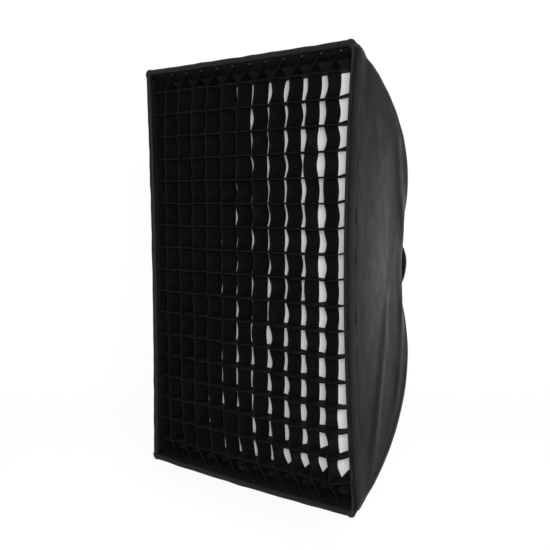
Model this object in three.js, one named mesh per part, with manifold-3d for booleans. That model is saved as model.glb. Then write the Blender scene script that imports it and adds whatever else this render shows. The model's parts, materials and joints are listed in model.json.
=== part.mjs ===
// Rectangular fabric softbox, 60 x 90 cm, on a rotating speed ring with a three-lug bayonet.
//
// Units are millimetres and +Z is up. The origin is the centre of the bayonet ring's rear face.
// +Y points out of that face, towards the flash, and the light leaves the box towards -Y.
// "Depth" is measured from the plane of the front edge towards the ring.
import * as THREE from 'three';
import * as BufferGeometryUtils from 'three/addons/utils/BufferGeometryUtils.js';
import Module from 'manifold-3d';

const wasm = await Module();
wasm.setup();

// Driving dimensions
const OPENING_HALF_WIDTH = 300;
const OPENING_HALF_HEIGHT = 450;
const TOTAL_DEPTH = 494;
const FRONT_SIDE_BOW = 16; // how far the tall front edges pull in at mid height
const PANEL_BOW = { side: 26, end: 16 }; // extra pull-in of the panels half way back

const CORNER_FLARE = THREE.MathUtils.degToRad(24.6); // seam against the axis, at the front
const CORNER_FRONT_HANDLE = 450;
const CUFF_SEAM_RADIUS = 91;
const CUFF_SEAM_DEPTH = 462;
const CORNER_REAR_ANGLE = THREE.MathUtils.degToRad(68); // seam against the axis, at the ring
const CORNER_REAR_HANDLE = 45;
const ROUND_FROM = 0.78; // along the seam, where the section starts to turn from square to round
const BOW_UNTIL = 0.9; // along the seam, where the panels' pull-in has died out

const FABRIC = 1.2;
const LIP_DEPTH = 62;
const SEAM_ALLOWANCE = 3; // panels stop this far from the corner seam
const GAP = 0.4;

const CUFF = { inner: 86.5, outer: 91.5, front: -30.8, rear: -25 };

const GRID = {
  front: 8, depth: 40, columns: 12, rows: 18, columnPitch: 48.3, rowPitch: 49.9,
  thickness: 1.2, slot: 2.0, margin: 1.5,
};
const DIFFUSER = { depth: 49.4, thickness: 0.8, corner: 14 };
const BAFFLE = { depth: 230, halfWidth: 165, halfHeight: 255, thickness: 0.8, corner: 30 };
const STRAP = { width: 16, thickness: 1, fromBaffle: 2, fromRod: 6 };

const ROD = { radius: 2.5, inset: 8, tipDepth: 72, leavesSeam: 0.9, innerEnd: 67 };
const POCKET = { bore: 3.6, radius: 5.6, length: 46, end: 3 };

const BAYONET = { bore: 49, neck: 55, flange: 72, flangeFront: -14, flangeRear: -10, front: -36 };
const LUG = { radius: 63, thickness: 3.5, arc: THREE.MathUtils.degToRad(36), count: 3 };
const COLLAR = { bore: 55.4, radius: 70, front: -30, rear: -14.4, chamfer: 2 };
const SOCKET = {
  radius: 84, depth: 456, tilt: THREE.MathUtils.degToRad(20), bore: 3.0, from: 66, to: 90,
};
const SOCKET_LUG = { inner: 61, centre: 72, depth: 24, width: 15 };
const CIRCLIP = {
  groove: 53.2, play: 0.1, bore: 53.6, radius: 60, front: -34, rear: -32.5, halfGap: 0.22,
};
const KNOB = {
  y: -21, stud: 3, radius: 10, inner: 98, outer: 113, lobes: 6, ripple: 0.8, bevel: 1,
  hub: 5.5, hubStart: 93,
};
const KNOB_BOSS = { radius: 6.4, from: 62, to: 78 };
const SHOE = { radius: 4.6, inner: 55.3, outer: 59.3, travel: 2 };

// Materials
const finish = (color, roughness, metalness = 0) =>
  new THREE.MeshStandardMaterial({ color, roughness, metalness });
const MATERIALS = {
  shell: finish(0x232325, 0.62),
  webbing: finish(0x19191a, 0.85),
  diffuser: finish(0xdedede, 0.9),
  grid: finish(0x121213, 0.88),
  rod: finish(0x8a8c90, 0.35, 1),
  collar: finish(0x2a2b2d, 0.42, 1),
  bayonet: finish(0xa9abae, 0.32, 1),
  knob: finish(0x18181a, 0.5),
  shoe: finish(0x26231f, 0.8),
};

// The object
const softbox = new THREE.Group();

function add(name, geometry, material, parent = softbox) {
  const mesh = new THREE.Mesh(geometry, material);
  mesh.name = name;
  parent.add(mesh);
  return mesh;
}

const depthToY = (depth) => depth - TOTAL_DEPTH;

// Solids from manifold-3d, which only joins and cuts here
function toManifold(geometry) {
  const bare = geometry.clone();
  bare.deleteAttribute('normal');
  bare.deleteAttribute('uv');
  const merged = BufferGeometryUtils.mergeVertices(bare, 1e-4);
  return new wasm.Manifold(new wasm.Mesh({
    numProp: 3,
    vertProperties: new Float32Array(merged.attributes.position.array),
    triVerts: new Uint32Array(merged.index.array),
  }));
}

function toGeometry(manifold) {
  const mesh = manifold.getMesh();
  const geometry = new THREE.BufferGeometry();
  geometry.setAttribute('position', new THREE.BufferAttribute(mesh.vertProperties, 3));
  geometry.setIndex(new THREE.BufferAttribute(mesh.triVerts, 1));
  return geometry;
}

// A lathe turned about the Y axis from [radius, y] points, closed on itself.
function ring(profile, segments = 48) {
  const points = [...profile, profile[0]].map(([r, y]) => new THREE.Vector2(r, y));
  return new THREE.LatheGeometry(points, segments);
}

// A solid cylinder along the direction from one point to another.
function cylinder(from, to, radius, segments = 20) {
  const axis = new THREE.Vector3().subVectors(to, from);
  const geometry = new THREE.CylinderGeometry(radius, radius, axis.length(), segments);
  const turn = new THREE.Quaternion().setFromUnitVectors(
    new THREE.Vector3(0, 1, 0), axis.clone().normalize());
  geometry.applyQuaternion(turn);
  const middle = new THREE.Vector3().addVectors(from, to).multiplyScalar(0.5);
  return geometry.translate(middle.x, middle.y, middle.z);
}

// A closed sheet between two surfaces, outer(i, j) and inner(i, j), over a grid of points.
function sheet(outer, inner, rows, columns) {
  const positions = [];
  const index = [];
  for (const surface of [outer, inner]) {
    for (let i = 0; i <= rows; i++) {
      for (let j = 0; j <= columns; j++) positions.push(...surface(i / rows, j / columns));
    }
  }
  const layer = (rows + 1) * (columns + 1);
  const at = (side, i, j) => side * layer + i * (columns + 1) + j;
  const quad = (a, b, c, d) => index.push(a, b, c, a, c, d);
  for (let i = 0; i < rows; i++) {
    for (let j = 0; j < columns; j++) {
      quad(at(0, i, j), at(0, i, j + 1), at(0, i + 1, j + 1), at(0, i + 1, j));
      quad(at(1, i, j), at(1, i + 1, j), at(1, i + 1, j + 1), at(1, i, j + 1));
    }
    quad(at(0, i, 0), at(0, i + 1, 0), at(1, i + 1, 0), at(1, i, 0));
    quad(at(0, i, columns), at(1, i, columns), at(1, i + 1, columns), at(0, i + 1, columns));
  }
  for (let j = 0; j < columns; j++) {
    quad(at(0, 0, j), at(1, 0, j), at(1, 0, j + 1), at(0, 0, j + 1));
    quad(at(0, rows, j), at(0, rows, j + 1), at(1, rows, j + 1), at(1, rows, j));
  }
  const geometry = new THREE.BufferGeometry();
  geometry.setAttribute('position', new THREE.Float32BufferAttribute(positions, 3));
  geometry.setIndex(index);
  return facingOut(geometry);
}

function facingOut(geometry) {
  const p = geometry.attributes.position;
  const index = geometry.index.array;
  const [a, b, c] = [new THREE.Vector3(), new THREE.Vector3(), new THREE.Vector3()];
  let volume = 0;
  for (let k = 0; k < index.length; k += 3) {
    a.fromBufferAttribute(p, index[k]);
    b.fromBufferAttribute(p, index[k + 1]);
    c.fromBufferAttribute(p, index[k + 2]);
    volume += a.dot(b.cross(c));
  }
  if (volume < 0) {
    for (let k = 0; k < index.length; k += 3) [index[k], index[k + 1]] = [index[k + 1], index[k]];
  }
  return geometry;
}

// A flat plate from a shape in X and Z, between two depths.
function plate(shape, frontDepth, thickness, curveSegments = 4) {
  const geometry = new THREE.ExtrudeGeometry(
    shape, { depth: thickness, bevelEnabled: false, curveSegments });
  // The shape's plane is XY and it grows along Z; this stands it up, growing towards -Y.
  return geometry.rotateX(Math.PI / 2).translate(0, depthToY(frontDepth) + thickness, 0);
}

// The corner seam: the line along which two panels meet, from the front corner to the cuff.
// It holds x (half width), y (depth) and z (half height) of the box's section.
const cornerRadius = Math.hypot(OPENING_HALF_WIDTH, OPENING_HALF_HEIGHT);
const frontPull = 1 - (CORNER_FRONT_HANDLE * Math.sin(CORNER_FLARE)) / cornerRadius;
const rearRadius = CUFF_SEAM_RADIUS + CORNER_REAR_HANDLE * Math.sin(CORNER_REAR_ANGLE);
const cornerSeam = new THREE.CubicBezierCurve3(
  new THREE.Vector3(OPENING_HALF_WIDTH, 0, OPENING_HALF_HEIGHT),
  new THREE.Vector3(
    OPENING_HALF_WIDTH * frontPull,
    CORNER_FRONT_HANDLE * Math.cos(CORNER_FLARE),
    OPENING_HALF_HEIGHT * frontPull),
  new THREE.Vector3(
    rearRadius * Math.SQRT1_2,
    CUFF_SEAM_DEPTH - CORNER_REAR_HANDLE * Math.cos(CORNER_REAR_ANGLE),
    rearRadius * Math.SQRT1_2),
  new THREE.Vector3(
    CUFF_SEAM_RADIUS * Math.SQRT1_2, CUFF_SEAM_DEPTH, CUFF_SEAM_RADIUS * Math.SQRT1_2),
);

// The seam's parameter at a depth, by halving.
function seamAt(depth) {
  let [low, high] = [0, 1];
  for (let k = 0; k < 40; k++) {
    const middle = (low + high) / 2;
    if (cornerSeam.getPoint(middle).y < depth) low = middle;
    else high = middle;
  }
  return (low + high) / 2;
}

// One side of the shell. SIDES gives each side's outward axis and the axis along its width.
const SIDES = {
  right: { out: 'x', along: 'z', sign: 1, bow: PANEL_BOW.side, frontBow: FRONT_SIDE_BOW },
  left: { out: 'x', along: 'z', sign: -1, bow: PANEL_BOW.side, frontBow: FRONT_SIDE_BOW },
  top: { out: 'z', along: 'x', sign: 1, bow: PANEL_BOW.end, frontBow: 0 },
  bottom: { out: 'z', along: 'x', sign: -1, bow: PANEL_BOW.end, frontBow: 0 },
};

// A point of a side at seam parameter t, at a fraction (-1 to 1) of its width, this far inside.
// Near the cuff the straight section turns into an arc, so that the rear opening is round.
function shellPoint(side, t, fraction, inside) {
  const corner = cornerSeam.getPoint(t);
  const tangent = cornerSeam.getTangent(t);
  const half = corner[side.along];
  const share = fraction * (1 - (SEAM_ALLOWANCE * (1 - t) + GAP) / half);
  const roundness = THREE.MathUtils.smoothstep(t, ROUND_FROM, 1);
  const angle = share * Math.atan2(half, corner[side.out]);
  const radius = Math.hypot(half, corner[side.out]);
  const pull = (1 - share * share) *
    (side.frontBow * (1 - t) + side.bow * Math.sin(Math.PI * Math.min(1, t / BOW_UNTIL)) ** 2);
  let out = THREE.MathUtils.lerp(corner[side.out], radius * Math.cos(angle), roundness) - pull;
  const along = THREE.MathUtils.lerp(half * share, radius * Math.sin(angle), roundness);
  const slope = Math.hypot(tangent[side.out], tangent.y);
  out -= (inside * tangent.y) / slope;
  const depth = corner.y + (inside * tangent[side.out]) / slope;
  const point = { x: 0, z: 0 };
  point[side.out] = side.sign * out;
  point[side.along] = along;
  return [point.x, depthToY(depth), point.z];
}

function shellSheet(side, tFrom, tTo, rows, columns) {
  const surface = (inside) => (v, u) =>
    shellPoint(side, THREE.MathUtils.lerp(tFrom, tTo, v), 2 * u - 1, inside);
  return sheet(surface(0), surface(FABRIC), rows, columns);
}

// Shell: four panels, and the lip in front of them that holds diffuser and grid
function addShell() {
  const lipEnd = seamAt(LIP_DEPTH);
  const panelStart = seamAt(LIP_DEPTH + GAP);
  for (const [name, side] of Object.entries(SIDES)) {
    add(`panel_${name}`, shellSheet(side, panelStart, 1, 10, 8), MATERIALS.shell);
    add(`front_lip_${name}`, shellSheet(side, 0, lipEnd, 1, 8), MATERIALS.webbing);
  }
  const cuff = ring([
    [CUFF.inner, CUFF.front], [CUFF.outer, CUFF.front], [CUFF.outer, CUFF.rear], [CUFF.inner, CUFF.rear],
  ], 32);
  add('rear_cuff', cuff, MATERIALS.webbing);
}

// Rods: a little inside the corner seams, from the front pockets to the ring's sockets
function rodPoint(t) {
  const corner = cornerSeam.getPoint(t);
  const tangent = cornerSeam.getTangent(t);
  const slopeX = Math.hypot(tangent.x, tangent.y);
  const slopeZ = Math.hypot(tangent.z, tangent.y);
  return new THREE.Vector3(
    corner.x - (ROD.inset * tangent.y) / slopeX,
    depthToY(corner.y + (ROD.inset * (tangent.x / slopeX + tangent.z / slopeZ)) / 2),
    corner.z - (ROD.inset * tangent.y) / slopeZ);
}

const socketPoint = (radius) => new THREE.Vector3(
  radius * Math.SQRT1_2,
  depthToY(SOCKET.depth + (SOCKET.radius - radius) * Math.tan(SOCKET.tilt)),
  radius * Math.SQRT1_2);

function rodRoute() {
  const start = seamAt(ROD.tipDepth);
  const steps = 8;
  const points = [];
  for (let k = 0; k <= steps; k++) {
    points.push(rodPoint(THREE.MathUtils.lerp(start, ROD.leavesSeam, k / steps)));
  }
  return [...points, socketPoint(SOCKET.to), socketPoint(ROD.innerEnd)];
}

const QUADRANTS = [[1, 1], [1, -1], [-1, -1], [-1, 1]];

function polygon(radius, sides) {
  const corners = [];
  for (let k = 0; k < sides; k++) {
    const angle = (2 * Math.PI * k) / sides;
    corners.push(new THREE.Vector2(radius * Math.cos(angle), radius * Math.sin(angle)));
  }
  return new THREE.Shape(corners);
}

function addRods() {
  const route = rodRoute();
  QUADRANTS.forEach(([sx, sz], k) => {
    const own = route.map((p) => new THREE.Vector3(sx * p.x, p.y, sz * p.z));
    const path = new THREE.CatmullRomCurve3(own, false, 'centripetal');
    const rod = new THREE.ExtrudeGeometry(
      polygon(ROD.radius, 8), { steps: 20, extrudePath: path, bevelEnabled: false });
    add(`rod_${k + 1}`, rod, MATERIALS.rod);

    const tip = own[0];
    const back = path.getPointAt(0.08);
    const axis = new THREE.Vector3().subVectors(back, tip).normalize();
    const pocket = new THREE.LatheGeometry([
      [0, 0], [POCKET.radius, 0], [POCKET.radius, POCKET.length],
      [POCKET.bore, POCKET.length], [POCKET.bore, POCKET.end], [0, POCKET.end],
    ].map(([r, y]) => new THREE.Vector2(r, y)), 12);
    const mesh = add(`corner_pocket_${k + 1}`, pocket, MATERIALS.webbing);
    mesh.quaternion.setFromUnitVectors(new THREE.Vector3(0, 1, 0), axis);
    mesh.position.copy(tip).addScaledVector(axis, -(POCKET.end + GAP));
  });
}

// Inside of the lip at a depth: half width at the corner, half height, and the sides' pull-in.
function lipInside(depth) {
  const t = seamAt(depth);
  const inside = FABRIC + GRID.margin;
  const [sideAtCorner] = shellPoint(SIDES.right, t, 1, inside);
  const [sideAtMiddle] = shellPoint(SIDES.right, t, 0, inside);
  const [, , top] = shellPoint(SIDES.top, t, 0, inside);
  return { x: sideAtCorner, z: top, bow: sideAtCorner - sideAtMiddle };
}

// A flat outline with straight ends and sides that pull in by the bow.
function bowedOutline(halfWidth, halfHeight, bow, corner) {
  const shape = new THREE.Shape();
  const sideAt = (z) => halfWidth - bow * (1 - (z / halfHeight) ** 2);
  const steps = 8;
  const side = [];
  for (let k = 0; k <= steps; k++) side.push(((2 * k) / steps - 1) * (halfHeight - corner));
  shape.moveTo(-halfWidth + corner, -halfHeight);
  shape.lineTo(halfWidth - corner, -halfHeight);
  side.forEach((z) => shape.lineTo(sideAt(z), z));
  shape.lineTo(halfWidth - corner, halfHeight);
  shape.lineTo(-halfWidth + corner, halfHeight);
  side.reverse().forEach((z) => shape.lineTo(-sideAt(z), z));
  shape.closePath();
  return shape;
}

// Diffusers
function addDiffusers() {
  const lip = lipInside(DIFFUSER.depth + DIFFUSER.thickness);
  const front = bowedOutline(lip.x, lip.z, lip.bow, DIFFUSER.corner);
  add('front_diffuser', plate(front, DIFFUSER.depth, DIFFUSER.thickness), MATERIALS.diffuser);
  const inner = bowedOutline(BAFFLE.halfWidth, BAFFLE.halfHeight, 0, BAFFLE.corner);
  add('inner_baffle', plate(inner, BAFFLE.depth, BAFFLE.thickness), MATERIALS.diffuser);

  const rodAt = rodPoint(seamAt(BAFFLE.depth));
  const chamfered = STRAP.fromBaffle - BAFFLE.corner / 2;
  const from = new THREE.Vector2(BAFFLE.halfWidth + chamfered, BAFFLE.halfHeight + chamfered);
  const to = new THREE.Vector2(rodAt.x - STRAP.fromRod, rodAt.z - STRAP.fromRod);
  const length = from.distanceTo(to);
  QUADRANTS.forEach(([sx, sz], k) => {
    const band = new THREE.BoxGeometry(length, STRAP.thickness, STRAP.width);
    const strap = add(`baffle_strap_${k + 1}`, band, MATERIALS.webbing);
    strap.position.set(
      (sx * (from.x + to.x)) / 2,
      depthToY(BAFFLE.depth + BAFFLE.thickness / 2),
      (sz * (from.y + to.y)) / 2);
    strap.rotation.y = -Math.atan2(sz * (to.y - from.y), sx * (to.x - from.x));
  });
}

// Grid: a border of four bands, and strips that slot into each other half way
function comb(length, slots, slotsFromFront) {
  const { depth, slot } = GRID;
  const cut = depth / 2 + GAP;
  const edge = slotsFromFront ? depth : 0;
  const bottom = slotsFromFront ? depth - cut : cut;
  const shape = new THREE.Shape();
  shape.moveTo(-length / 2, edge);
  for (const at of slots) {
    shape.lineTo(at - slot / 2, edge);
    shape.lineTo(at - slot / 2, bottom);
    shape.lineTo(at + slot / 2, bottom);
    shape.lineTo(at + slot / 2, edge);
  }
  shape.lineTo(length / 2, edge);
  shape.lineTo(length / 2, depth - edge);
  shape.lineTo(-length / 2, depth - edge);
  shape.closePath();
  return new THREE.ExtrudeGeometry(shape, { depth: GRID.thickness, bevelEnabled: false })
    .translate(0, 0, -GRID.thickness / 2);
}

function addGrid() {
  const { front, depth, columns, rows, thickness } = GRID;
  const lip = lipInside(front + depth);
  const sideAt = (z) => lip.x - lip.bow * (1 - (z / lip.z) ** 2);
  const centreY = depthToY(front + depth / 2);
  const band = (sign, inside) => (v, u) => {
    const z = (2 * u - 1) * (lip.z - thickness - GAP);
    return [sign * (sideAt(z) - inside), depthToY(front + v * depth), z];
  };
  for (const [name, sign] of [['right', 1], ['left', -1]]) {
    add(`grid_border_${name}`, sheet(band(sign, 0), band(sign, thickness), 1, 8), MATERIALS.grid);
  }
  for (const [name, sign] of [['top', 1], ['bottom', -1]]) {
    const strip = add(
      `grid_border_${name}`, new THREE.BoxGeometry(2 * lip.x, depth, thickness), MATERIALS.grid);
    strip.position.set(0, centreY, sign * (lip.z - thickness / 2));
  }

  const across = (k) => GRID.columnPitch * (k - columns / 2);
  const up = (k) => GRID.rowPitch * (k - rows / 2);
  const inner = (count, place) => Array.from({ length: count - 1 }, (_, k) => place(k + 1));
  const pad = (k) => String(k).padStart(2, '0');
  inner(columns, across).forEach((x, k) => {
    const length = 2 * (lip.z - thickness - GAP);
    const strip = add(
      `grid_strip_v_${pad(k + 1)}`, comb(length, inner(rows, up), false), MATERIALS.grid);
    // The comb's length turns to Z and its depth stays along Y.
    strip.rotation.y = -Math.PI / 2;
    strip.position.set(x, depthToY(front), 0);
  });
  inner(rows, up).forEach((z, k) => {
    const length = 2 * (sideAt(z) - thickness - GAP);
    const strip = add(
      `grid_strip_h_${pad(k + 1)}`, comb(length, inner(columns, across), true), MATERIALS.grid);
    strip.position.set(0, depthToY(front), z);
  });
}

// Speed ring: the bayonet ring that locks to the flash, and the collar that turns on it
function addBayonet() {
  const { bore, neck, flange, flangeFront, flangeRear, front } = BAYONET;
  const grooveFront = CIRCLIP.front - CIRCLIP.play;
  const grooveRear = CIRCLIP.rear + CIRCLIP.play;
  const body = toManifold(ring([
    [bore, front], [neck, front], [neck, grooveFront], [CIRCLIP.groove, grooveFront],
    [CIRCLIP.groove, grooveRear], [neck, grooveRear], [neck, flangeFront],
    [flange, flangeFront], [flange, flangeRear], [neck, flangeRear], [neck, 0], [bore, 0],
  ]));
  const lug = new THREE.Shape();
  lug.absarc(0, 0, LUG.radius, -LUG.arc / 2, LUG.arc / 2, false);
  lug.absarc(0, 0, (bore + neck) / 2, LUG.arc / 2, -LUG.arc / 2, true);
  lug.closePath();
  let whole = body;
  for (let k = 0; k < LUG.count; k++) {
    const tab = new THREE.ExtrudeGeometry(
      lug, { depth: LUG.thickness, bevelEnabled: false, curveSegments: 6 });
    tab.rotateZ(Math.PI / 2 + (2 * Math.PI * k) / LUG.count).rotateX(Math.PI / 2);
    whole = whole.add(toManifold(tab));
  }
  add('bayonet_ring', toGeometry(whole), MATERIALS.bayonet);

  const clip = new THREE.Shape();
  const start = -Math.PI / 2 + CIRCLIP.halfGap;
  const end = (3 * Math.PI) / 2 - CIRCLIP.halfGap;
  clip.absarc(0, 0, CIRCLIP.radius, start, end, false);
  clip.absarc(0, 0, CIRCLIP.bore, end, start, true);
  clip.closePath();
  const height = CIRCLIP.rear - CIRCLIP.front;
  const circlip = new THREE.ExtrudeGeometry(
    clip, { depth: height, bevelEnabled: false, curveSegments: 20 });
  circlip.rotateX(Math.PI / 2);
  add('retaining_ring', circlip, MATERIALS.bayonet).position.y = CIRCLIP.rear;
}

// A point on the lock knob's axis at a radius from the ring's axis, straight below it.
const knobAxisPoint = (radius) => new THREE.Vector3(0, KNOB.y, -radius);

function addCollar() {
  const { bore, radius, front, rear, chamfer } = COLLAR;
  let body = toManifold(ring([
    [bore, front], [radius - chamfer, front], [radius, front + chamfer],
    [radius, rear - chamfer], [radius - chamfer, rear], [bore, rear],
  ]));
  QUADRANTS.forEach(([sx, sz]) => {
    const lug = new THREE.BoxGeometry(
      SOCKET.radius - SOCKET_LUG.inner, SOCKET_LUG.depth, SOCKET_LUG.width);
    lug.translate((SOCKET.radius + SOCKET_LUG.inner) / 2, socketPoint(SOCKET_LUG.centre).y, 0);
    lug.rotateY(-Math.atan2(sz, sx));
    body = body.add(toManifold(lug));
  });
  body = body.add(toManifold(cylinder(
    knobAxisPoint(KNOB_BOSS.from), knobAxisPoint(KNOB_BOSS.to), KNOB_BOSS.radius)));
  QUADRANTS.forEach(([sx, sz]) => {
    const turn = new THREE.Vector3(sx, 1, sz);
    const [from, to] = [SOCKET.from, SOCKET.to].map((r) => socketPoint(r).multiply(turn));
    body = body.subtract(toManifold(cylinder(from, to, SOCKET.bore, 16)));
  });
  body = body.subtract(toManifold(cylinder(
    knobAxisPoint(KNOB_BOSS.to + 2), knobAxisPoint(bore - 3), KNOB.stud + GAP, 16)));
  body = body.subtract(toManifold(cylinder(
    knobAxisPoint(SHOE.outer + SHOE.travel + 2 * GAP), knobAxisPoint(bore - 3), SHOE.radius + GAP)));
  add('speed_ring_collar', toGeometry(body), MATERIALS.collar);
}

function addBrake() {
  const shoe = cylinder(knobAxisPoint(SHOE.inner + GAP), knobAxisPoint(SHOE.outer), SHOE.radius);
  add('brake_shoe', shoe, MATERIALS.shoe);

  const steps = 48;
  const outline = Array.from({ length: steps }, (_, k) => {
    const angle = (2 * Math.PI * k) / steps;
    const r = KNOB.radius - KNOB.ripple * (1 - Math.cos(KNOB.lobes * angle));
    return new THREE.Vector2(r * Math.cos(angle), r * Math.sin(angle));
  });
  const grip = new THREE.ExtrudeGeometry(new THREE.Shape(outline), {
    depth: KNOB.outer - KNOB.inner - 2 * KNOB.bevel,
    bevelThickness: KNOB.bevel, bevelSize: KNOB.ripple, bevelSegments: 1,
  });
  grip.translate(0, KNOB.y, KNOB.bevel - KNOB.outer);
  const stud = cylinder(
    knobAxisPoint(SHOE.outer + GAP), knobAxisPoint(KNOB.inner + 4), KNOB.stud, 16);
  const hub = cylinder(knobAxisPoint(KNOB.hubStart), knobAxisPoint(KNOB.inner + 2), KNOB.hub);
  const knob = toManifold(grip).add(toManifold(stud)).add(toManifold(hub));
  add('lock_knob', toGeometry(knob), MATERIALS.knob);
}

addShell();
addRods();
addDiffusers();
addGrid();
addBayonet();
addCollar();
addBrake();

export default softbox;
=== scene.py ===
# Rectangular fabric softbox on a rotating speed ring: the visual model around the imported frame.
#
# Metres, +Z up. The light leaves towards -Y; "depth" runs from the front edge towards the ring.
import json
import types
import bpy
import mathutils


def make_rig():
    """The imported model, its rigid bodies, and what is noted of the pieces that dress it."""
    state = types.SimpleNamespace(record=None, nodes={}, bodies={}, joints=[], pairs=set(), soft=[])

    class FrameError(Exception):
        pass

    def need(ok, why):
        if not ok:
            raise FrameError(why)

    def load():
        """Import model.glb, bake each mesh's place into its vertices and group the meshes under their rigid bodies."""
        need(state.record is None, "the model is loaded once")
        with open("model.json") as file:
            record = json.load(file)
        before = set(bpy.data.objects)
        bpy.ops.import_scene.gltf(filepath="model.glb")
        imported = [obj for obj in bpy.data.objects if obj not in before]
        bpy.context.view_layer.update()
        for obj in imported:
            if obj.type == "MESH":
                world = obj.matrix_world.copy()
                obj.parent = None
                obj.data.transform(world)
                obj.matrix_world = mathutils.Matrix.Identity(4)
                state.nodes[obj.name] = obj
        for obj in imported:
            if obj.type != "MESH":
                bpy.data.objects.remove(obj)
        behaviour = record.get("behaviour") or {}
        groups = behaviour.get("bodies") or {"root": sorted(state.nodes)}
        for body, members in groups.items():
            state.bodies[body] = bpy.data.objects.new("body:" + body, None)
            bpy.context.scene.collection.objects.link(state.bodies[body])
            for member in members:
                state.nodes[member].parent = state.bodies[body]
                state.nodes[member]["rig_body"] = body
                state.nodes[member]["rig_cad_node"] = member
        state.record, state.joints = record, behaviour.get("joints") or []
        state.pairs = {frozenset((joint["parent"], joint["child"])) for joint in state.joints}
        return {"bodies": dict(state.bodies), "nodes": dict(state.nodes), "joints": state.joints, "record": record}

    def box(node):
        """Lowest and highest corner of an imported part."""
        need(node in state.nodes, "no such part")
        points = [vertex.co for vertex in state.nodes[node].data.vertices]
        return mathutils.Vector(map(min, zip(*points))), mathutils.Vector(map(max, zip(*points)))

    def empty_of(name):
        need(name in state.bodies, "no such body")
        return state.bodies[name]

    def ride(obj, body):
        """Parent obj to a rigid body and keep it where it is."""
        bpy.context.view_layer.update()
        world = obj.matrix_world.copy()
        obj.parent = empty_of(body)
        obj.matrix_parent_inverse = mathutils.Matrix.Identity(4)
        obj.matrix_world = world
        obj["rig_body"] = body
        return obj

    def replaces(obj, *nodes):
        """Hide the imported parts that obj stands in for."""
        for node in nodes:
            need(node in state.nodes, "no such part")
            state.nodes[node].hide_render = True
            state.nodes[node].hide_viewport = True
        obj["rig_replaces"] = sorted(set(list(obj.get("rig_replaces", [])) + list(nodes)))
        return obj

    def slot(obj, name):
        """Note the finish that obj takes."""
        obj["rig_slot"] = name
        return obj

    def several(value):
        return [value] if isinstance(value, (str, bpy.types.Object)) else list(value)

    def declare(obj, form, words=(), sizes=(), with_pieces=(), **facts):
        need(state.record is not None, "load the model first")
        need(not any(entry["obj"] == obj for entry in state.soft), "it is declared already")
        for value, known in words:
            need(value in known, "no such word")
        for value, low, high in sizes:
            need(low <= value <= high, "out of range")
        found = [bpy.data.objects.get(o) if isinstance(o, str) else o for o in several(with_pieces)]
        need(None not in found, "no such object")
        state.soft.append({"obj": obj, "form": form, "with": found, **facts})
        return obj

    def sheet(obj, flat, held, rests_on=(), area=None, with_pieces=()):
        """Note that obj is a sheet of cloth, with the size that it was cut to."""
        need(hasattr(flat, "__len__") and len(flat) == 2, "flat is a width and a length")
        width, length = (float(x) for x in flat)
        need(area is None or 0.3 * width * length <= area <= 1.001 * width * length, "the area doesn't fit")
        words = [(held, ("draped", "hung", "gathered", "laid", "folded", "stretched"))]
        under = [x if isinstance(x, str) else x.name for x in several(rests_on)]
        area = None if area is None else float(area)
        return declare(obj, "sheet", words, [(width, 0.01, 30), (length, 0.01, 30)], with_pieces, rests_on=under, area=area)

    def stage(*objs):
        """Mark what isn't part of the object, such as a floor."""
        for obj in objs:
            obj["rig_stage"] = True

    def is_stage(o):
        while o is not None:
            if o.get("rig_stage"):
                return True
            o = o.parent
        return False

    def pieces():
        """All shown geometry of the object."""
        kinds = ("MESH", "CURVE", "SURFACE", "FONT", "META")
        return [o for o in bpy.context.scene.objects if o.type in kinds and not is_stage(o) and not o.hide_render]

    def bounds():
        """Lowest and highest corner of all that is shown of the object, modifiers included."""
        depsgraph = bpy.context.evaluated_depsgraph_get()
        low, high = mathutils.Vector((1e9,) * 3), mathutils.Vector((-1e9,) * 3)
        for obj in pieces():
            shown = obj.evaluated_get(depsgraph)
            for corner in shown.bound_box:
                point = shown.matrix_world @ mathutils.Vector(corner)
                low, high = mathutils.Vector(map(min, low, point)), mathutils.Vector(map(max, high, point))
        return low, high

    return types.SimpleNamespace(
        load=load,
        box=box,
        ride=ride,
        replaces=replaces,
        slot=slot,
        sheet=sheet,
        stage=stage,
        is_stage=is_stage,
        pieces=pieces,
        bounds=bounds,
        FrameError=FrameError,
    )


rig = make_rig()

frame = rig.load()

import json
from math import asin, cos, hypot, pi, radians, sin, sqrt

import bmesh
import bpy
import numpy as np
from mathutils import Matrix, Vector

LOW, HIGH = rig.bounds()
CAD_BOX = [list(LOW), list(HIGH)]
MM = 0.001

# ---- Dimensions, from the frame ----

HALF_WIDTH = round(HIGH[0], 3)
HALF_HEIGHT = round(HIGH[2], 3)
FRONT_Y = round(LOW[1], 3)
CUFF_LOW, CUFF_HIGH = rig.box("rear_cuff")
CUFF_RADIUS = CUFF_HIGH[0] - 0.5 * MM
CUFF_DEPTH = CUFF_LOW[1] - FRONT_Y - 1.2 * MM
LIP_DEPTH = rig.box("front_lip_top")[1][1] - FRONT_Y
GRID_LOW, GRID_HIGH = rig.box("grid_border_top")
GRID_FRONT = GRID_LOW[1] - FRONT_Y
GRID_DEPTH = GRID_HIGH[1] - GRID_LOW[1]
DIFFUSER_LOW, DIFFUSER_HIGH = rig.box("front_diffuser")
DIFFUSER_DEPTH = DIFFUSER_LOW[1] - FRONT_Y
BAFFLE_LOW, BAFFLE_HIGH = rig.box("inner_baffle")

# The corner seam is a cubic curve: its angle to the depth axis and its handle at each end.
CORNER_FLARE = radians(24.6)
CORNER_FRONT_HANDLE = 0.45
CORNER_REAR_ANGLE = radians(68)
CORNER_REAR_HANDLE = 0.045
# Along the seam, from 0 to 1: where the section starts to turn round, and the bow ends.
ROUND_FROM, BOW_UNTIL = 0.78, 0.72
# How far the middle of each side bows in behind the front edge, and at it.
PANEL_BOW = {"right": 0.026, "left": 0.026, "top": 0.016, "bottom": 0.016}
FRONT_BOW = {"right": 0.021, "left": 0.008, "top": 0.001, "bottom": -0.004}
CORNER_ROUND = 0.007
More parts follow.
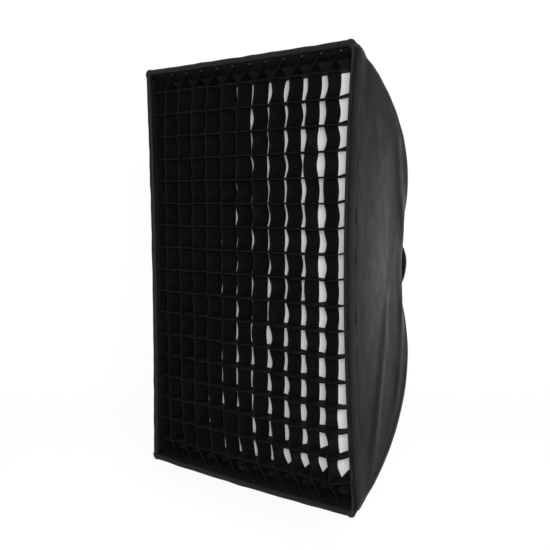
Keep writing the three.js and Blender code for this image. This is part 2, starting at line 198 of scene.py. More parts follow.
# The rolled bead of the front edge, and where the panel that wraps round it begins.
BEAD_DEPTH, BEAD_INSET, BEAD_RADIUS = 0.005, 0.0028, 0.0052
PANEL_ROUND_BEAD = 0.0055
PANEL_START = 0.0022
SIDES = {
    "right": (0, 2, 1), "left": (0, 2, -1), "top": (2, 0, 1), "bottom": (2, 0, -1),
}
QUADRANTS = [(1, 1), (1, -1), (-1, -1), (-1, 1)]


def turned(side):
    """Whether the faces of a side's grid have to be turned round to point outwards."""
    return (SIDES[side][2] > 0) != (SIDES[side][0] == 2)


def smoothstep(a, b, x):
    s = np.clip((np.asarray(x, float) - a) / (b - a), 0, 1)
    return s * s * (3 - 2 * s)


# ---- Camera, light and stage ----

# Solved from the photo's corners: metres, degrees, and the lens and its frame in millimetres.
CAMERA_PLACE = (1.357, -1.835, 0.169)
CAMERA_AZIMUTH, CAMERA_PITCH, CAMERA_ROLL = 43.2, 5.07, -0.45
CAMERA_LENS, CAMERA_FRAME = 59.76, 36
# The stage, in metres: a floor, and a wall that rises behind it.
FLOOR_Z, WALL_Y, WALL_HEIGHT, WALL_CURVE = -0.95, 2.4, 4.5, 1.2


def linked(name, data):
    made = bpy.data.objects.new(name, data)
    bpy.context.collection.objects.link(made)
    return made


def add_camera():
    azimuth, pitch, roll = map(radians, (CAMERA_AZIMUTH, CAMERA_PITCH, CAMERA_ROLL))
    level_share = cos(pitch)
    forward = Vector((-sin(azimuth) * level_share, cos(azimuth) * level_share, -sin(pitch)))
    level = Vector((cos(azimuth), sin(azimuth), 0))
    up = level.cross(forward)
    right = level * cos(roll) + up * sin(roll)
    top = up * cos(roll) - level * sin(roll)
    data = bpy.data.cameras.new("camera")
    data.lens, data.sensor_width = CAMERA_LENS, CAMERA_FRAME
    camera = linked("camera", data)
    place = Matrix((right, top, -forward)).transposed().to_4x4()
    place.translation = Vector(CAMERA_PLACE)
    camera.matrix_world = place
    bpy.context.scene.camera = camera


def add_area(name, place, target, size, power):
    data = bpy.data.lights.new(name, "AREA")
    data.shape, data.size, data.size_y = "RECTANGLE", size[0], size[1]
    data.energy = power
    light = linked(name, data)
    light.location = place
    light.rotation_euler = (Vector(target) - Vector(place)).to_track_quat("-Z", "Y").to_euler()


def add_studio():
    world = bpy.data.worlds.new("studio")
    bpy.context.scene.world = world
    world.use_nodes = True
    sky = world.node_tree.nodes["Background"]
    sky.inputs["Color"].default_value = (1, 1, 1, 1)
    sky.inputs["Strength"].default_value = 1.0
    bpy.context.scene.view_settings.view_transform = "Standard"
    add_area("key", (1.6, -1.95, 0.3), (0, -0.4, 0), (0.5, 0.5), 38)
    add_area("rim", (2.4, 0.9, 0.5), (0.1, -0.2, 0), (0.5, 1.6), 2)

    # A pale floor that turns up into a back wall.
    section = [(-3.2, 0.0), (WALL_Y, 0.0)]
    for k in range(1, 13):
        a = pi / 2 * k / 12
        section.append((WALL_Y + WALL_CURVE * sin(a), WALL_CURVE * (1 - cos(a))))
    section.append((WALL_Y + WALL_CURVE, WALL_HEIGHT))
    verts = [(x, y, FLOOR_Z + z) for y, z in section for x in (-12.0, 12.0)]
    faces = [(2 * k, 2 * k + 1, 2 * k + 3, 2 * k + 2) for k in range(len(section) - 1)]
    mesh = bpy.data.meshes.new("stage")
    mesh.from_pydata(verts, [], faces)
    mesh.shade_smooth()
    stage = linked("stage", mesh)
    stage.rotation_euler.z = radians(CAMERA_AZIMUTH)
    mesh.materials.append(new_material("stage_paper", 0.95, 0.9))
    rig.stage(stage)


# ---- Materials ----

class Nodes:
    """A short hand for building a material's node tree."""

    def __init__(self, material):
        self.tree = material.node_tree
        self.shader = self.tree.nodes["Principled BSDF"]

    def add(self, kind, source=None, **settings):
        """A node with its properties and sockets set, and source linked to its Vector."""
        node = self.tree.nodes.new(kind)
        for key, value in settings.items():
            if hasattr(node, key):
                setattr(node, key, value)
            else:
                node.inputs[key].default_value = value
        if source is not None:
            self.link(source, node.inputs["Vector"])
        return node

    def link(self, source, target):
        self.tree.links.new(source, target)

    def place(self, scale, kind="Object"):
        """Coordinates in metres times scale, from the object's own space or its UV map."""
        where = self.add("ShaderNodeTexCoord")
        scale = scale if hasattr(scale, "__len__") else (scale,) * 3
        return self.add("ShaderNodeMapping", where.outputs[kind], Scale=scale).outputs["Vector"]

    def noise(self, scale, detail=4, roughness=0.5):
        node = self.add("ShaderNodeTexNoise", self.place(scale), Scale=1, Detail=detail,
                        Roughness=roughness)
        return node.outputs["Fac"]

    def wave(self, per_metre, direction, distortion=0.0):
        # One band of the wave node is 2 pi / 20 units wide.
        node = self.add("ShaderNodeTexWave", self.place(1.0, "UV"), bands_direction=direction,
                        Scale=per_metre * pi / 10, Distortion=distortion)
        return node.outputs["Fac"]

    def crossed(self, per_metre):
        """The threads of a plain weave."""
        node = self.add("ShaderNodeMath", operation="MULTIPLY")
        for socket, direction in zip(node.inputs, "XY"):
            self.link(self.wave(per_metre, direction), socket)
        return node.outputs[0]

    def ramp(self, source, low, high, start=0.3, end=0.7):
        """A grey or colour ramp from low to high as source goes from start to end."""
        node = self.add("ShaderNodeValToRGB")
        for element, value, at in zip(node.color_ramp.elements, (low, high), (start, end)):
            element.position = at
            element.color = (*colour(value), 1)
        self.link(source, node.inputs["Fac"])
        return node.outputs["Color"]

    def mottled(self, source, base, share, start=0.3, end=0.7):
        """The base colour made darker and lighter by a share."""
        return self.ramp(source, scaled(base, 1 - share), scaled(base, 1 + share), start, end)

    def bump(self, height, strength, distance, normal=None):
        node = self.add("ShaderNodeBump", Strength=strength, Distance=distance)
        self.link(height, node.inputs["Height"])
        if normal is not None:
            self.link(normal, node.inputs["Normal"])
        return node.outputs["Normal"]

    def finish(self, base=None, rough=None, normal=None):
        for socket, value in (("Base Color", base), ("Roughness", rough), ("Normal", normal)):
            if value is not None:
                self.link(value, self.shader.inputs[socket])


def colour(value):
    return (value,) * 3 if isinstance(value, (int, float)) else tuple(value)


def new_material(name, base, rough, metal=0.0, sheen=0.0, specular=0.5, ior=1.5):
    material = bpy.data.materials.new(name)
    material.use_nodes = True
    values = {"Base Color": (*colour(base), 1), "Roughness": rough, "Metallic": metal,
              "Specular IOR Level": specular, "IOR": ior}
    if sheen:
        values.update({"Sheen Weight": sheen, "Sheen Roughness": 0.5})
    for socket, value in values.items():
        material.node_tree.nodes["Principled BSDF"].inputs[socket].default_value = value
    return material


def scaled(base, factor):
    return tuple(c * factor for c in colour(base))


# How many patches of uneven dye there are in a metre of cloth.
BLOTCHES = 12


def woven(name, base, rough, sheen, per_metre, depth, mottle=0.12, specular=0.5, ior=1.5):
    """Plain-woven cloth: crossed threads, uneven dye and a little uneven shine."""
    material = new_material(name, base, rough, sheen=sheen, specular=specular, ior=ior)
    n = Nodes(material)
    fine = n.bump(n.crossed(per_metre), 0.35, depth)
    soft = n.bump(n.noise(38, 5, 0.55), 0.3, 0.0012, fine)
    tone = n.mottled(n.noise(BLOTCHES, 5, 0.6), base, mottle, 0.35, 0.65)
    n.finish(tone, n.ramp(n.noise(BLOTCHES * 2.3), rough - 0.05, rough + 0.06), soft)
    return material


def ribbed(name, base, rough, per_metre, depth, sheen=0.03, specular=0.3):
    """Webbing or bound tape: ribs across its length, with fuzz."""
    material = new_material(name, base, rough, sheen=sheen, specular=specular)
    n = Nodes(material)
    ribs = n.bump(n.wave(per_metre, "X", distortion=0.4), 0.5, depth)
    fuzz = n.bump(n.noise(900, 3), 0.25, 0.0003, ribs)
    tone = n.ramp(n.noise(45), scaled(base, 0.85), scaled(base, 1.18))
    shine = n.ramp(n.noise(120, 3), rough - 0.06, rough + 0.06)
    n.finish(tone, shine, fuzz)
    return material


def fuzzy(name, base):
    """The loop side of hook-and-loop tape."""
    material = new_material(name, base, 0.95, sheen=0.05, specular=0.05)
    n = Nodes(material)
    pile = n.bump(n.noise(1400, 5, 0.7), 0.8, 0.0008)
    n.finish(n.ramp(n.noise(60), scaled(base, 0.8), scaled(base, 1.25)), None, pile)
    return material


def lining():
    """Silver-coated reflective cloth with a pebbled face."""
    material = new_material("silver_lining", (0.62, 0.63, 0.65), 0.34, metal=0.8)
    n = Nodes(material)
    pebble = n.add("ShaderNodeTexVoronoi", n.place(420, "UV"), feature="SMOOTH_F1", Scale=1)
    grain = n.bump(pebble.outputs["Distance"], 0.55, 0.0007)
    creases = n.bump(n.noise(22, 5, 0.6), 0.35, 0.003, grain)
    tone = n.ramp(n.noise(9), (0.55, 0.56, 0.58), (0.68, 0.69, 0.71))
    n.finish(tone, n.ramp(n.noise(30, 3), 0.28, 0.42), creases)
    return material


def turned_metal(name, base, rough, scale=(60, 4000, 60)):
    """Metal with fine tool marks across Y, faint stains and worn shine."""
    material = new_material(name, base, rough, metal=1.0)
    n = Nodes(material)
    marks = n.bump(n.noise(scale, 2), 0.35, 0.00004)
    tone = n.mottled(n.noise(35, 5), base, 0.15)
    n.finish(tone, n.ramp(n.noise(80), rough - 0.07, rough + 0.1), marks)
    return material


def grained(name, base, rough, scale, depth, metal=0.0):
    """Moulded plastic, rubber or blasted metal: a fine even grain with handled patches."""
    material = new_material(name, base, rough, metal=metal)
    n = Nodes(material)
    grain = n.bump(n.noise(scale, 3, 0.6), 0.5, depth)
    tone = n.mottled(n.noise(60), base, 0.15)
    n.finish(tone, n.ramp(n.noise(40), rough - 0.08, rough + 0.08), grain)
    return material


def make_materials():
    return {
        "nylon": woven("coated_nylon", (0.004, 0.004, 0.0043), 0.36, 0.003, 1600, 0.0001,
                       specular=0.108, ior=1.24),
        "lining": lining(),
        "piping": ribbed("seam_piping", (0.016, 0.016, 0.0165), 0.45, 1100, 0.0001,
                         specular=0.25),
        "tape": ribbed("binding_tape", (0.0075, 0.0075, 0.008), 0.6, 1100, 0.0002, sheen=0.02,
                       specular=0.1),
        "lip": woven("lip_lining", (0.0045, 0.0045, 0.0047), 0.7, 0.01, 1400, 0.0001,
                     specular=0.06),
        "webbing": ribbed("black_webbing", (0.014, 0.014, 0.015), 0.7, 700, 0.0004),
        "loop": fuzzy("loop_tape", (0.0062, 0.0062, 0.0064)),
        "bead": woven("bead_binding", (0.0072, 0.0072, 0.0074), 0.5, 0.008, 1500, 0.0001,
                      specular=0.2, ior=1.3),
        "thread": ribbed("black_thread", (0.007, 0.007, 0.0075), 0.5, 2500, 0.0001,
                         sheen=0.0, specular=0.06),
        "tack": ribbed("grey_thread", (0.055, 0.055, 0.057), 0.6, 2500, 0.0001),
        "grid": woven("grid_cloth", (0.0029, 0.0029, 0.0031), 0.62, 0.01, 1300, 0.00012,
                      specular=0.05),
        # Painted shade: the level strips take a darker copy of the grid cloth, standing in for the shade that falls
        # under each row.
        "row": woven("grid_row_cloth", (0.0016, 0.0016, 0.0017), 0.65, 0.006, 1300, 0.00012,
                     specular=0.05),
        "hem": woven("grid_hem", (0.0031, 0.0031, 0.0033), 0.55, 0.005, 1300, 0.00012,
                     specular=0.08, ior=1.25),
        "diffuser": woven("diffuser_cloth", (0.75, 0.75, 0.76), 0.75, 0.15, 1500, 0.00006,
                          mottle=0.02),
        "elastic": ribbed("elastic_cuff", (0.012, 0.012, 0.013), 0.75, 500, 0.0006),
        "rod": turned_metal("spring_steel", (0.42, 0.43, 0.45), 0.3, (700, 60, 700)),
        "collar": grained("anodised_collar", (0.035, 0.036, 0.039), 0.38, 2600, 0.00005,
                          metal=0.9),
        "steel": turned_metal("zinc_steel", (0.5, 0.5, 0.52), 0.28),
        "plastic": grained("moulded_plastic", (0.018, 0.018, 0.019), 0.45, 1500, 0.00012),
        "rubber": grained("brake_rubber", (0.03, 0.027, 0.024), 0.85, 900, 0.0002),
    }


# ---- Mesh helpers ----

def stacked(*parts):
    """Arrays of matching shapes side by side in a last axis, for points and UVs."""
    return np.stack(np.broadcast_arrays(*parts), axis=2)


class Build:
    """Collects vertices, faces, UVs and material numbers, and makes one mesh object of them."""

    def __init__(self):
        self.verts, self.faces, self.uvs, self.slots = [], [], [], []

    def grid(self, points, uv, slot=0, keep=None, close_i=False, close_j=False, flip=False):
        """Quads over points[i, j]; slot and keep are a number or functions of (i, j)."""
        rows, columns = points.shape[:2]
        start = len(self.verts)
        self.verts.extend(map(tuple, points.reshape(-1, 3)))
        self.uvs.extend(map(tuple, uv.reshape(-1, 2)))
        for i in range(rows if close_i else rows - 1):
            for j in range(columns if close_j else columns - 1):
                if keep is not None and not keep(i, j):
                    continue
                i2, j2 = (i + 1) % rows, (j + 1) % columns
                quad = [start + a * columns + b for a, b in ((i, j), (i, j2), (i2, j2), (i2, j))]
                self.faces.append(quad[::-1] if flip else quad)
                self.slots.append(slot(i, j) if callable(slot) else slot)

    def polygon(self, indices, slot=0):
        self.faces.append(list(indices))
        self.slots.append(slot)

    def make(self, name, materials):
        mesh = bpy.data.meshes.new(name)
        mesh.from_pydata(self.verts, [], self.faces)
        layer = mesh.uv_layers.new(name="metres")
        for polygon, slot in zip(mesh.polygons, self.slots):
            polygon.material_index = slot
            polygon.use_smooth = True
            for loop in polygon.loop_indices:
                layer.data[loop].uv = self.uvs[mesh.loops[loop].vertex_index]
        for key in materials:
            mesh.materials.append(MATERIALS[key])
        mesh.validate()
        return linked(name, mesh)


def thicken(piece, thickness, offset=-1.0, inner=0, group=None, least=1.0):
    modifier = piece.modifiers.new("thickness", "SOLIDIFY")
    modifier.thickness, modifier.offset = thickness, offset
    modifier.material_offset = inner
    modifier.use_even_offset = False
    if group:
        modifier.vertex_group = group
        modifier.thickness_vertex_group = least


def frames_along(points, up):
    """Tangent, side and normal at each point of a polyline; up is a vector or one for each."""
    points = np.asarray(points, float)
    tangent = np.gradient(points, axis=0)
    tangent /= np.linalg.norm(tangent, axis=1, keepdims=True)
    side = np.cross(tangent, np.broadcast_to(np.asarray(up, float), points.shape))
    side /= np.linalg.norm(side, axis=1, keepdims=True)
    return tangent, side, np.cross(side, tangent)


def lengths_along(points):
    steps = np.linalg.norm(np.diff(points, axis=0), axis=1)
    return np.concatenate([[0], np.cumsum(steps)])


def resample(points, count):
    points = np.asarray(points, float)
    run = lengths_along(points)
    at = np.linspace(0, run[-1], count)
    return np.stack([np.interp(at, run, points[:, k]) for k in range(3)], axis=1)


def sweep(build, points, up, profile, caps=True):
    """Sweeps a closed profile of (side, normal) points along a polyline."""
    _, side, normal = frames_along(points, up)
    ring = (points[:, None] + side[:, None] * profile[None, :, :1]
            + normal[:, None] * profile[None, :, 1:2])
    start = len(build.verts)
    uv = stacked(lengths_along(points)[:, None], lengths_along(profile)[None, :])
    build.grid(ring, uv, close_j=True)
    if caps:
        count, last = len(profile), len(points) - 1
        build.polygon(range(start, start + count))
        build.polygon(reversed(range(start + last * count, start + (last + 1) * count)))


def round_profile(width, height, sides, power=2.0):
    """A closed oval or rounded-box profile, width across and height along the normal."""
    angles = np.linspace(0, 2 * pi, sides, endpoint=False)
    c, s = np.cos(angles), np.sin(angles)
    return np.stack([
        width / 2 * np.sign(c) * np.abs(c) ** (2 / power),
        height / 2 * np.sign(s) * np.abs(s) ** (2 / power)], axis=1)


def stitches(build, points, up, slot=0, length=0.0032, gap=0.0014, width=0.0007, lift=0.00035):
    """A row of thread stitches, each a small spindle that dips in at its ends."""
    run = lengths_along(points)
    count = max(1, int(run[-1] / (length + gap)))
    fine = resample(points, count * 2 + 1)
    up = np.asarray(up, float)
    if up.ndim > 1:
        up = resample(up, count * 2 + 1)
        up /= np.linalg.norm(up, axis=1, keepdims=True)
    tangent, side, normal = frames_along(fine, up)
    for k in range(count):
        c = 2 * k + 1
        t, s, n = tangent[c], side[c], normal[c]
        middle = fine[c] + n * lift
        start = len(build.verts)
        rings = ((-0.5, 0.45, -0.8), (-0.2, 1.0, 0.0), (0.2, 1.0, 0.0), (0.5, 0.45, -0.8))
        for along, size, dip in rings:
            centre = middle + t * along * length + n * dip * width * 0.5
            for a in range(6):
                angle = pi * a / 3
                build.verts.append(tuple(
                    centre + size * width / 2 * (s * cos(angle) + n * sin(angle))))
                build.uvs.append((along * length, a * width / 2))
        for r in range(3):
            for a in range(6):
                b = (a + 1) % 6
                build.polygon((start + r * 6 + a, start + r * 6 + b,
                               start + r * 6 + 6 + b, start + r * 6 + 6 + a), slot)
        build.polygon(reversed(range(start, start + 6)), slot)
        build.polygon(range(start + 18, start + 24), slot)


RIPPLE_WAVES = 7


def ripple(u, v, size, seed):
    """Smooth seeded unevenness between about -1 and 1, from a few crossed waves."""
    chooser = np.random.default_rng(seed)
    total = np.zeros(np.broadcast(u, v).shape)
    for _ in range(RIPPLE_WAVES):
        angle, phase = chooser.uniform(0, 2 * pi, 2)
        k = 2 * pi * chooser.uniform(0.6, 1.7) / size
        total += np.sin(k * (u * cos(angle) + v * sin(angle)) + phase)
    return total / RIPPLE_WAVES * 1.6


# ---- The shell's surface ----

def seam(t):
    """The corner seam at t: half width, depth and half height, as an array (..., 3)."""
    t = np.asarray(t, float)[..., None]
    pull = 1 - CORNER_FRONT_HANDLE * sin(CORNER_FLARE) / hypot(HALF_WIDTH, HALF_HEIGHT)
    reach = (CUFF_RADIUS + CORNER_REAR_HANDLE * sin(CORNER_REAR_ANGLE)) * sqrt(0.5)
    end = CUFF_RADIUS * sqrt(0.5)
    a = np.array([HALF_WIDTH, 0, HALF_HEIGHT])
    front_reach = CORNER_FRONT_HANDLE * cos(CORNER_FLARE)
    b = np.array([HALF_WIDTH * pull, front_reach, HALF_HEIGHT * pull])
    c = np.array([reach, CUFF_DEPTH - CORNER_REAR_HANDLE * cos(CORNER_REAR_ANGLE), reach])
    d = np.array([end, CUFF_DEPTH, end])
    return (1 - t) ** 3 * a + 3 * (1 - t) ** 2 * t * b + 3 * (1 - t) * t ** 2 * c + t ** 3 * d


T_TABLE = np.linspace(0, 1, 801)
DEPTH_TABLE = seam(T_TABLE)[:, 1]


def t_at(depth):
    return np.interp(depth, DEPTH_TABLE, T_TABLE)


def bow_at(side, t):
    return (FRONT_BOW[side] * (1 - t)
            + PANEL_BOW[side] * np.sin(pi * np.minimum(1, t / BOW_UNTIL)) ** 2)


def corner_radius(depth):
    return CORNER_ROUND + 0.002 * np.exp(-depth / 0.05)


def rounded(side, t, f, half, out, fillet):
    """Distances along and out from the middle of a side whose ends turn by 45 degrees."""
    run = np.abs(f) * (half - fillet + fillet * pi / 4)
    turn = np.clip((run - (half - fillet)) / np.maximum(fillet, 1e-6), 0, pi / 4)
    along = np.where(turn > 0, half - fillet + fillet * np.sin(turn), run)
    bow = (1 - (along / half) ** 2) * bow_at(side, t)
    return along, out - fillet * (1 - np.cos(turn)) - bow


def placed(side, along, out, depth):
    out_axis, along_axis, sign = SIDES[side]
    point = np.empty(depth.shape + (3,))
    point[..., out_axis] = sign * out
    point[..., along_axis] = along
    point[..., 1] = FRONT_Y + depth
    return point


def shell_flat(side, t, f):
    """The shell without relief. f runs from -1 to 1 between the two seams of the side."""
    out_axis, along_axis, _ = SIDES[side]
    t, f = np.broadcast_arrays(np.asarray(t, float), np.asarray(f, float))
    corner = seam(t)
    half, out = corner[..., along_axis], corner[..., out_axis]
    fillet = corner_radius(corner[..., 1]) * (1 - smoothstep(0.8, 1, t))
    along, square = rounded(side, t, f, half, out, fillet)
    angle = np.abs(f) * np.arctan2(half, out)
    radius = np.hypot(half, out)
    roundness = smoothstep(ROUND_FROM, 1, t)
    pull = (1 - f ** 2) * bow_at(side, t)
    across = square * (1 - roundness) + (radius * np.cos(angle) - pull) * roundness
    along = (along * (1 - roundness) + radius * np.sin(angle) * roundness) * np.sign(f)
    return placed(side, along, across, corner[..., 1])


def shell(side, t, f, lift):
    """A point of the side, moved out by lift along the surface's normal."""
    t, f, lift = np.broadcast_arrays(*(np.asarray(a, float) for a in (t, f, lift)))
    e = 0.002
    by_t = shell_flat(side, np.minimum(t + e, 1), f) - shell_flat(side, np.maximum(t - e, 0), f)
    by_f = shell_flat(side, t, np.clip(f + e, -1, 1)) - shell_flat(side, t, np.clip(f - e, -1, 1))
    normal = np.cross(by_t, by_f)
    normal /= np.maximum(np.linalg.norm(normal, axis=-1, keepdims=True), 1e-12)
    out_axis, _, sign = SIDES[side]
    outward = np.sign(normal[..., out_axis:out_axis + 1]) * sign
    return shell_flat(side, t, f) + normal * outward * lift[..., None]


def diagonal(sx, sz):
    return np.array([sx, 0, sz]) * sqrt(0.5)


def seam_line(sx, sz, t, outward):
    """The corner seam itself, on the fillet's crest, moved out square to it by outward."""
    side = "right" if sx > 0 else "left"
    points = shell_flat(side, t, np.full(np.shape(t), float(sz)))
    _, _, normal = frames_along(points, diagonal(sx, sz))
    return points + normal * np.asarray(outward)[..., None]


def corner_pinch(side, depth, f):
    """The tip pocket's bulge in the lip, and the tuck behind it, strongest at the top corners."""
    _, along_axis, _ = SIDES[side]
    top = smoothstep(-1, 1, f) if along_axis == 2 else (1.0 if side == "top" else 0.0)
    near = np.abs(f) ** 10 * (0.25 + 0.75 * top)
    bulge = 0.0026 * np.sin(pi * np.clip(depth / 0.058, 0, 1)) ** 1.5
    tuck = -0.0024 * np.exp(-((depth - LIP_DEPTH) / 0.012) ** 2)
    return near * (bulge + tuck)


# How far the corner folds stand off, at the positive and the negative end of each side.
CORNER_FOLDS = {"right": (0.0006, 0.0046), "left": (0.003, 0.0022),
                "top": (0.0024, 0.003), "bottom": (0.003, 0.002)}


def relief(side, t, f):
    """How far the stretched cloth stands off the plain shell: tucks, waves and gathers."""
    corner = seam(t)
    depth = corner[..., 1]
    half = corner[..., SIDES[side][1]]
    across = f * half
    seed = list(SIDES).index(side) * 10
    from_seam = (1 - np.abs(f)) * half
    broad = 0.0016 * ripple(across, depth * 0.8, 0.3, seed + 1)
    tucks = 0.0006 * np.exp(-from_seam / 0.022) * ripple(depth, from_seam * 0.3, 0.03, seed + 2)
    phase = 0.8 * ripple(across, depth, 0.1, seed + 3)
    gathers = 0.0016 * smoothstep(0.66, 1, t) * np.sin(f * 30 + phase)
    # A roll beside each rod, and a fold drawn from each front corner towards the ring.
    beside = 0.03 + 0.38 * np.maximum(0, depth - 0.26)
    roll = 0.0032 * smoothstep(0.15, 0.28, depth) * (1 - smoothstep(0.38, 0.46, depth)) * np.exp(
        -((from_seam - beside) / (0.02 + 0.008 * smoothstep(0.2, 0.4, depth))) ** 2)
    drawn = CORNER_FOLDS[side][0] * (f > 0) + CORNER_FOLDS[side][1] * (f < 0)
    off_line = (np.abs(f) - (1.23 - 3.6 * depth)) * half
    roll += drawn * np.exp(-(off_line / 0.03) ** 2) * smoothstep(0.06, 0.15, depth) * (
        1 - smoothstep(0.24, 0.34, depth))
    folds = np.zeros_like(broad)
    for place, size, lean, wide in ((0.35, 0.0018, 0.05, 0.034), (0.29, -0.0008, -0.04, 0.036),
                                    (0.4, 0.0007, 0.02, 0.018)):
        middle = place + lean * f + 0.006 * ripple(across, across * 0, 0.35, seed + 4)
        folds += size * np.exp(-((depth - middle) / wide) ** 2) * (1 - np.abs(f) ** 4)
    edge = smoothstep(0.0, 0.012, from_seam)
    return behind_lip(depth) * edge * (broad + roll + folds) + edge * tucks + gathers * edge


def behind_lip(depth):
    return smoothstep(LIP_DEPTH, LIP_DEPTH + 0.03, depth)


def wrapped(depth):
    """How far the panel stands off the shell at the front, where it wraps round the bead."""
    round_bead = np.sqrt(np.maximum(0, PANEL_ROUND_BEAD ** 2 - (depth - BEAD_DEPTH) ** 2))
    after = 0.0006 + 0.0021 * np.exp(-((depth - BEAD_DEPTH) / 0.04) ** 2)
    return np.where(depth < BEAD_DEPTH, round_bead - BEAD_INSET, after)


# Each panel's flat width and length, the area of the fan cut from it, and its two rods.
PANELS = {"right": ((0.9, 0.66), 0.31, (1, 2)), "left": ((0.9, 0.66), 0.31, (3, 4)),
          "top": ((0.6, 0.66), 0.246, (1, 4)), "bottom": ((0.6, 0.66), 0.246, (2, 3))}


def add_panels(bindings):
    start = float(t_at(PANEL_START))
    t = start + (1 - start) * np.linspace(0, 1, 97)[:, None]
    spread = np.linspace(-1, 1, 97)
    f = (1.25 * spread - 0.25 * spread ** 3)[None, :]
    f = f / f.max()
    for side, (_, along_axis, _) in SIDES.items():
        depth_here = seam(t)[..., 1]
        behind = behind_lip(depth_here)
        lift = (relief(side, t, f) + lip_lift(side, depth_here, f) * (1 - behind)
                + corner_pinch(side, depth_here, f) * behind + wrapped(depth_here))
        points = shell(side, t, f, lift)
        uv = stacked(seam(t)[..., along_axis] * f, lengths_along(seam(t[:, 0]))[:, None])
        build = Build()
        build.grid(points, uv, flip=turned(side))
        piece = build.make(f"panel_{side}_cloth", ["nylon", "lining"])
        thicken(piece, 0.001, inner=1)
        attach(piece, "softbox", "shell_nylon", f"panel_{side}")
        flat, area, rods = PANELS[side]
        bound = {"right": bindings[:2], "left": bindings[2:]}.get(side, [])
        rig.sheet(piece, flat=flat, held="stretched", rests_on=[f"rod_{k}" for k in rods],
                 area=area, with_pieces=bound)


def attach(piece, body, slot, *nodes):
    """Says which body the piece rides on, its material slot, and which nodes it replaces."""
    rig.ride(piece, body)
    if nodes:
        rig.replaces(piece, *nodes)
    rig.slot(piece, slot)
    return piece


# ---- Front lip: a rolled bead, the turned-in band behind it, topstitching and loop tape ----

def inside_point(side, depth, f, inset, lift=0.0):
    """A point near the front, inset from the shell on both axes, so mitres meet at corners."""
    out_axis, along_axis, _ = SIDES[side]
    depth, f, inset = np.broadcast_arrays(*(np.asarray(a, float) for a in (depth, f, inset)))
    t = t_at(depth)
    corner = seam(t)
    half, out = corner[..., along_axis] - inset, corner[..., out_axis] - inset
    fillet = np.maximum(corner_radius(depth) - inset, 0.001)
    along, out = rounded(side, t, f, half, out, fillet)
    return placed(side, along * np.sign(f), out + lift, depth)


def bead_profile():
    """The lip's section as (depth, inset), once round: outside, bead, inside."""
    outside = [(LIP_DEPTH * k / 10, 0.001) for k in range(10, 1, -1)]
    bead = [(BEAD_DEPTH - BEAD_RADIUS * sin(a), BEAD_INSET - BEAD_RADIUS * cos(a))
            for a in np.linspace(-0.35, pi + 0.9, 16)]
    inside = [(0.0125, 0.0048), (0.015, 0.0034)]
    inside += [(LIP_DEPTH * k / 10, 0.0028) for k in range(3, 10)] + [(LIP_DEPTH - 0.001, 0.0016)]
    return outside, bead, inside


# The flat width of the lip's cloth, and where its stitch rows and its loop tape lie.
LIP_FLAT = 0.072
LIP_STITCH_ROWS = (0.0165, LIP_DEPTH - 0.004)
LOOP_TAPE_FROM, LOOP_TAPE_TO = 0.017, 0.046
# How far the bead's inner half is pressed flat along each side.
BEAD_PRESS = {"right": 0.0066, "left": 0.0, "top": 0.0, "bottom": 0.0}
# How much further out the bead stands on each side than at the corners.
BEAD_STAND = {"right": -0.0021, "left": 0.0012, "top": 0.0005, "bottom": 0.0003}


def front_half(side):
    return HALF_HEIGHT if SIDES[side][1] == 2 else HALF_WIDTH


def lip_lift(side, depth, f):
    seed = 60 + list(SIDES).index(side)
    waves = 0.0009 * ripple(f * front_half(side), depth, 0.075, seed) * (1 - np.abs(f) ** 6)
    stand = BEAD_STAND[side] * (1 - np.abs(f) ** 8) * (1 - smoothstep(0.006, 0.026, depth))
    return corner_pinch(side, depth, f) + waves + stand


def add_lips(patches):
    outside, bead, inside = bead_profile()
    loop = np.array(outside + bead + inside)
    spread = np.linspace(-1, 1, 121)
    f = (1.2 * spread - 0.2 * spread ** 3)[None, :]
    inner_from = len(outside) + len(bead) - 3
    depth, inset = loop[:, :1], loop[:, 1:]
    around = lengths_along(np.c_[loop, np.zeros(len(loop))])[:, None]
    for side, (out_axis, _, sign) in SIDES.items():
        pressed = BEAD_PRESS[side] * np.clip((inset + 0.0004) / 0.0084, 0, 1) * (
            1 - np.abs(f) ** 16) * (1 - smoothstep(0.01, 0.0145, depth))
        points = inside_point(side, depth, f, inset, lip_lift(side, depth, f) + pressed)
        run = front_half(side) * f
        build = Build()
        build.grid(points, stacked(run, around), slot=lambda i, j: int(i >= inner_from),
                   close_i=True, flip=turned(side))
        rows, columns = points.shape[:2]
        for j, back in ((0, turned(side)), (columns - 1, not turned(side))):
            cap = [i * columns + j for i in range(rows)]
            build.polygon(cap if back else reversed(cap))
        piece = build.make(f"lip_{side}_bead", ["bead", "lip"])
        attach(piece, "softbox", "shell_nylon", f"front_lip_{side}")
        rows_of_thread = Build()
        for at in LIP_STITCH_ROWS:
            line = inside_point(side, at, f[0], -0.0006, lip_lift(side, at, f[0]))
            up = np.zeros(3)
            up[out_axis] = sign
            stitches(rows_of_thread, line[2:-2], up)
        thread = rows_of_thread.make(f"lip_{side}_topstitch", ["thread"])
        attach(thread, "softbox", "shell_nylon")
        # The soft half of the hook-and-loop tape, sewn inside the lip.
        band = np.linspace(LOOP_TAPE_FROM, LOOP_TAPE_TO, 5)[:, None]
        points = inside_point(side, band, f * 0.985, 0.0036, lip_lift(side, band, f))
        build = Build()
        build.grid(points, stacked(run, band), flip=not turned(side))
        tape = build.make(f"lip_{side}_loop_tape", ["loop"])
        thicken(tape, 0.0009, offset=0)
        attach(tape, "softbox", "shell_nylon")
        sewn = [thread, tape] + (patches if side == "top" else [])
        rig.sheet(piece, flat=(2 * run.max(), LIP_FLAT), held="stretched",
                 rests_on=[f"panel_{side}_cloth"], with_pieces=sewn)


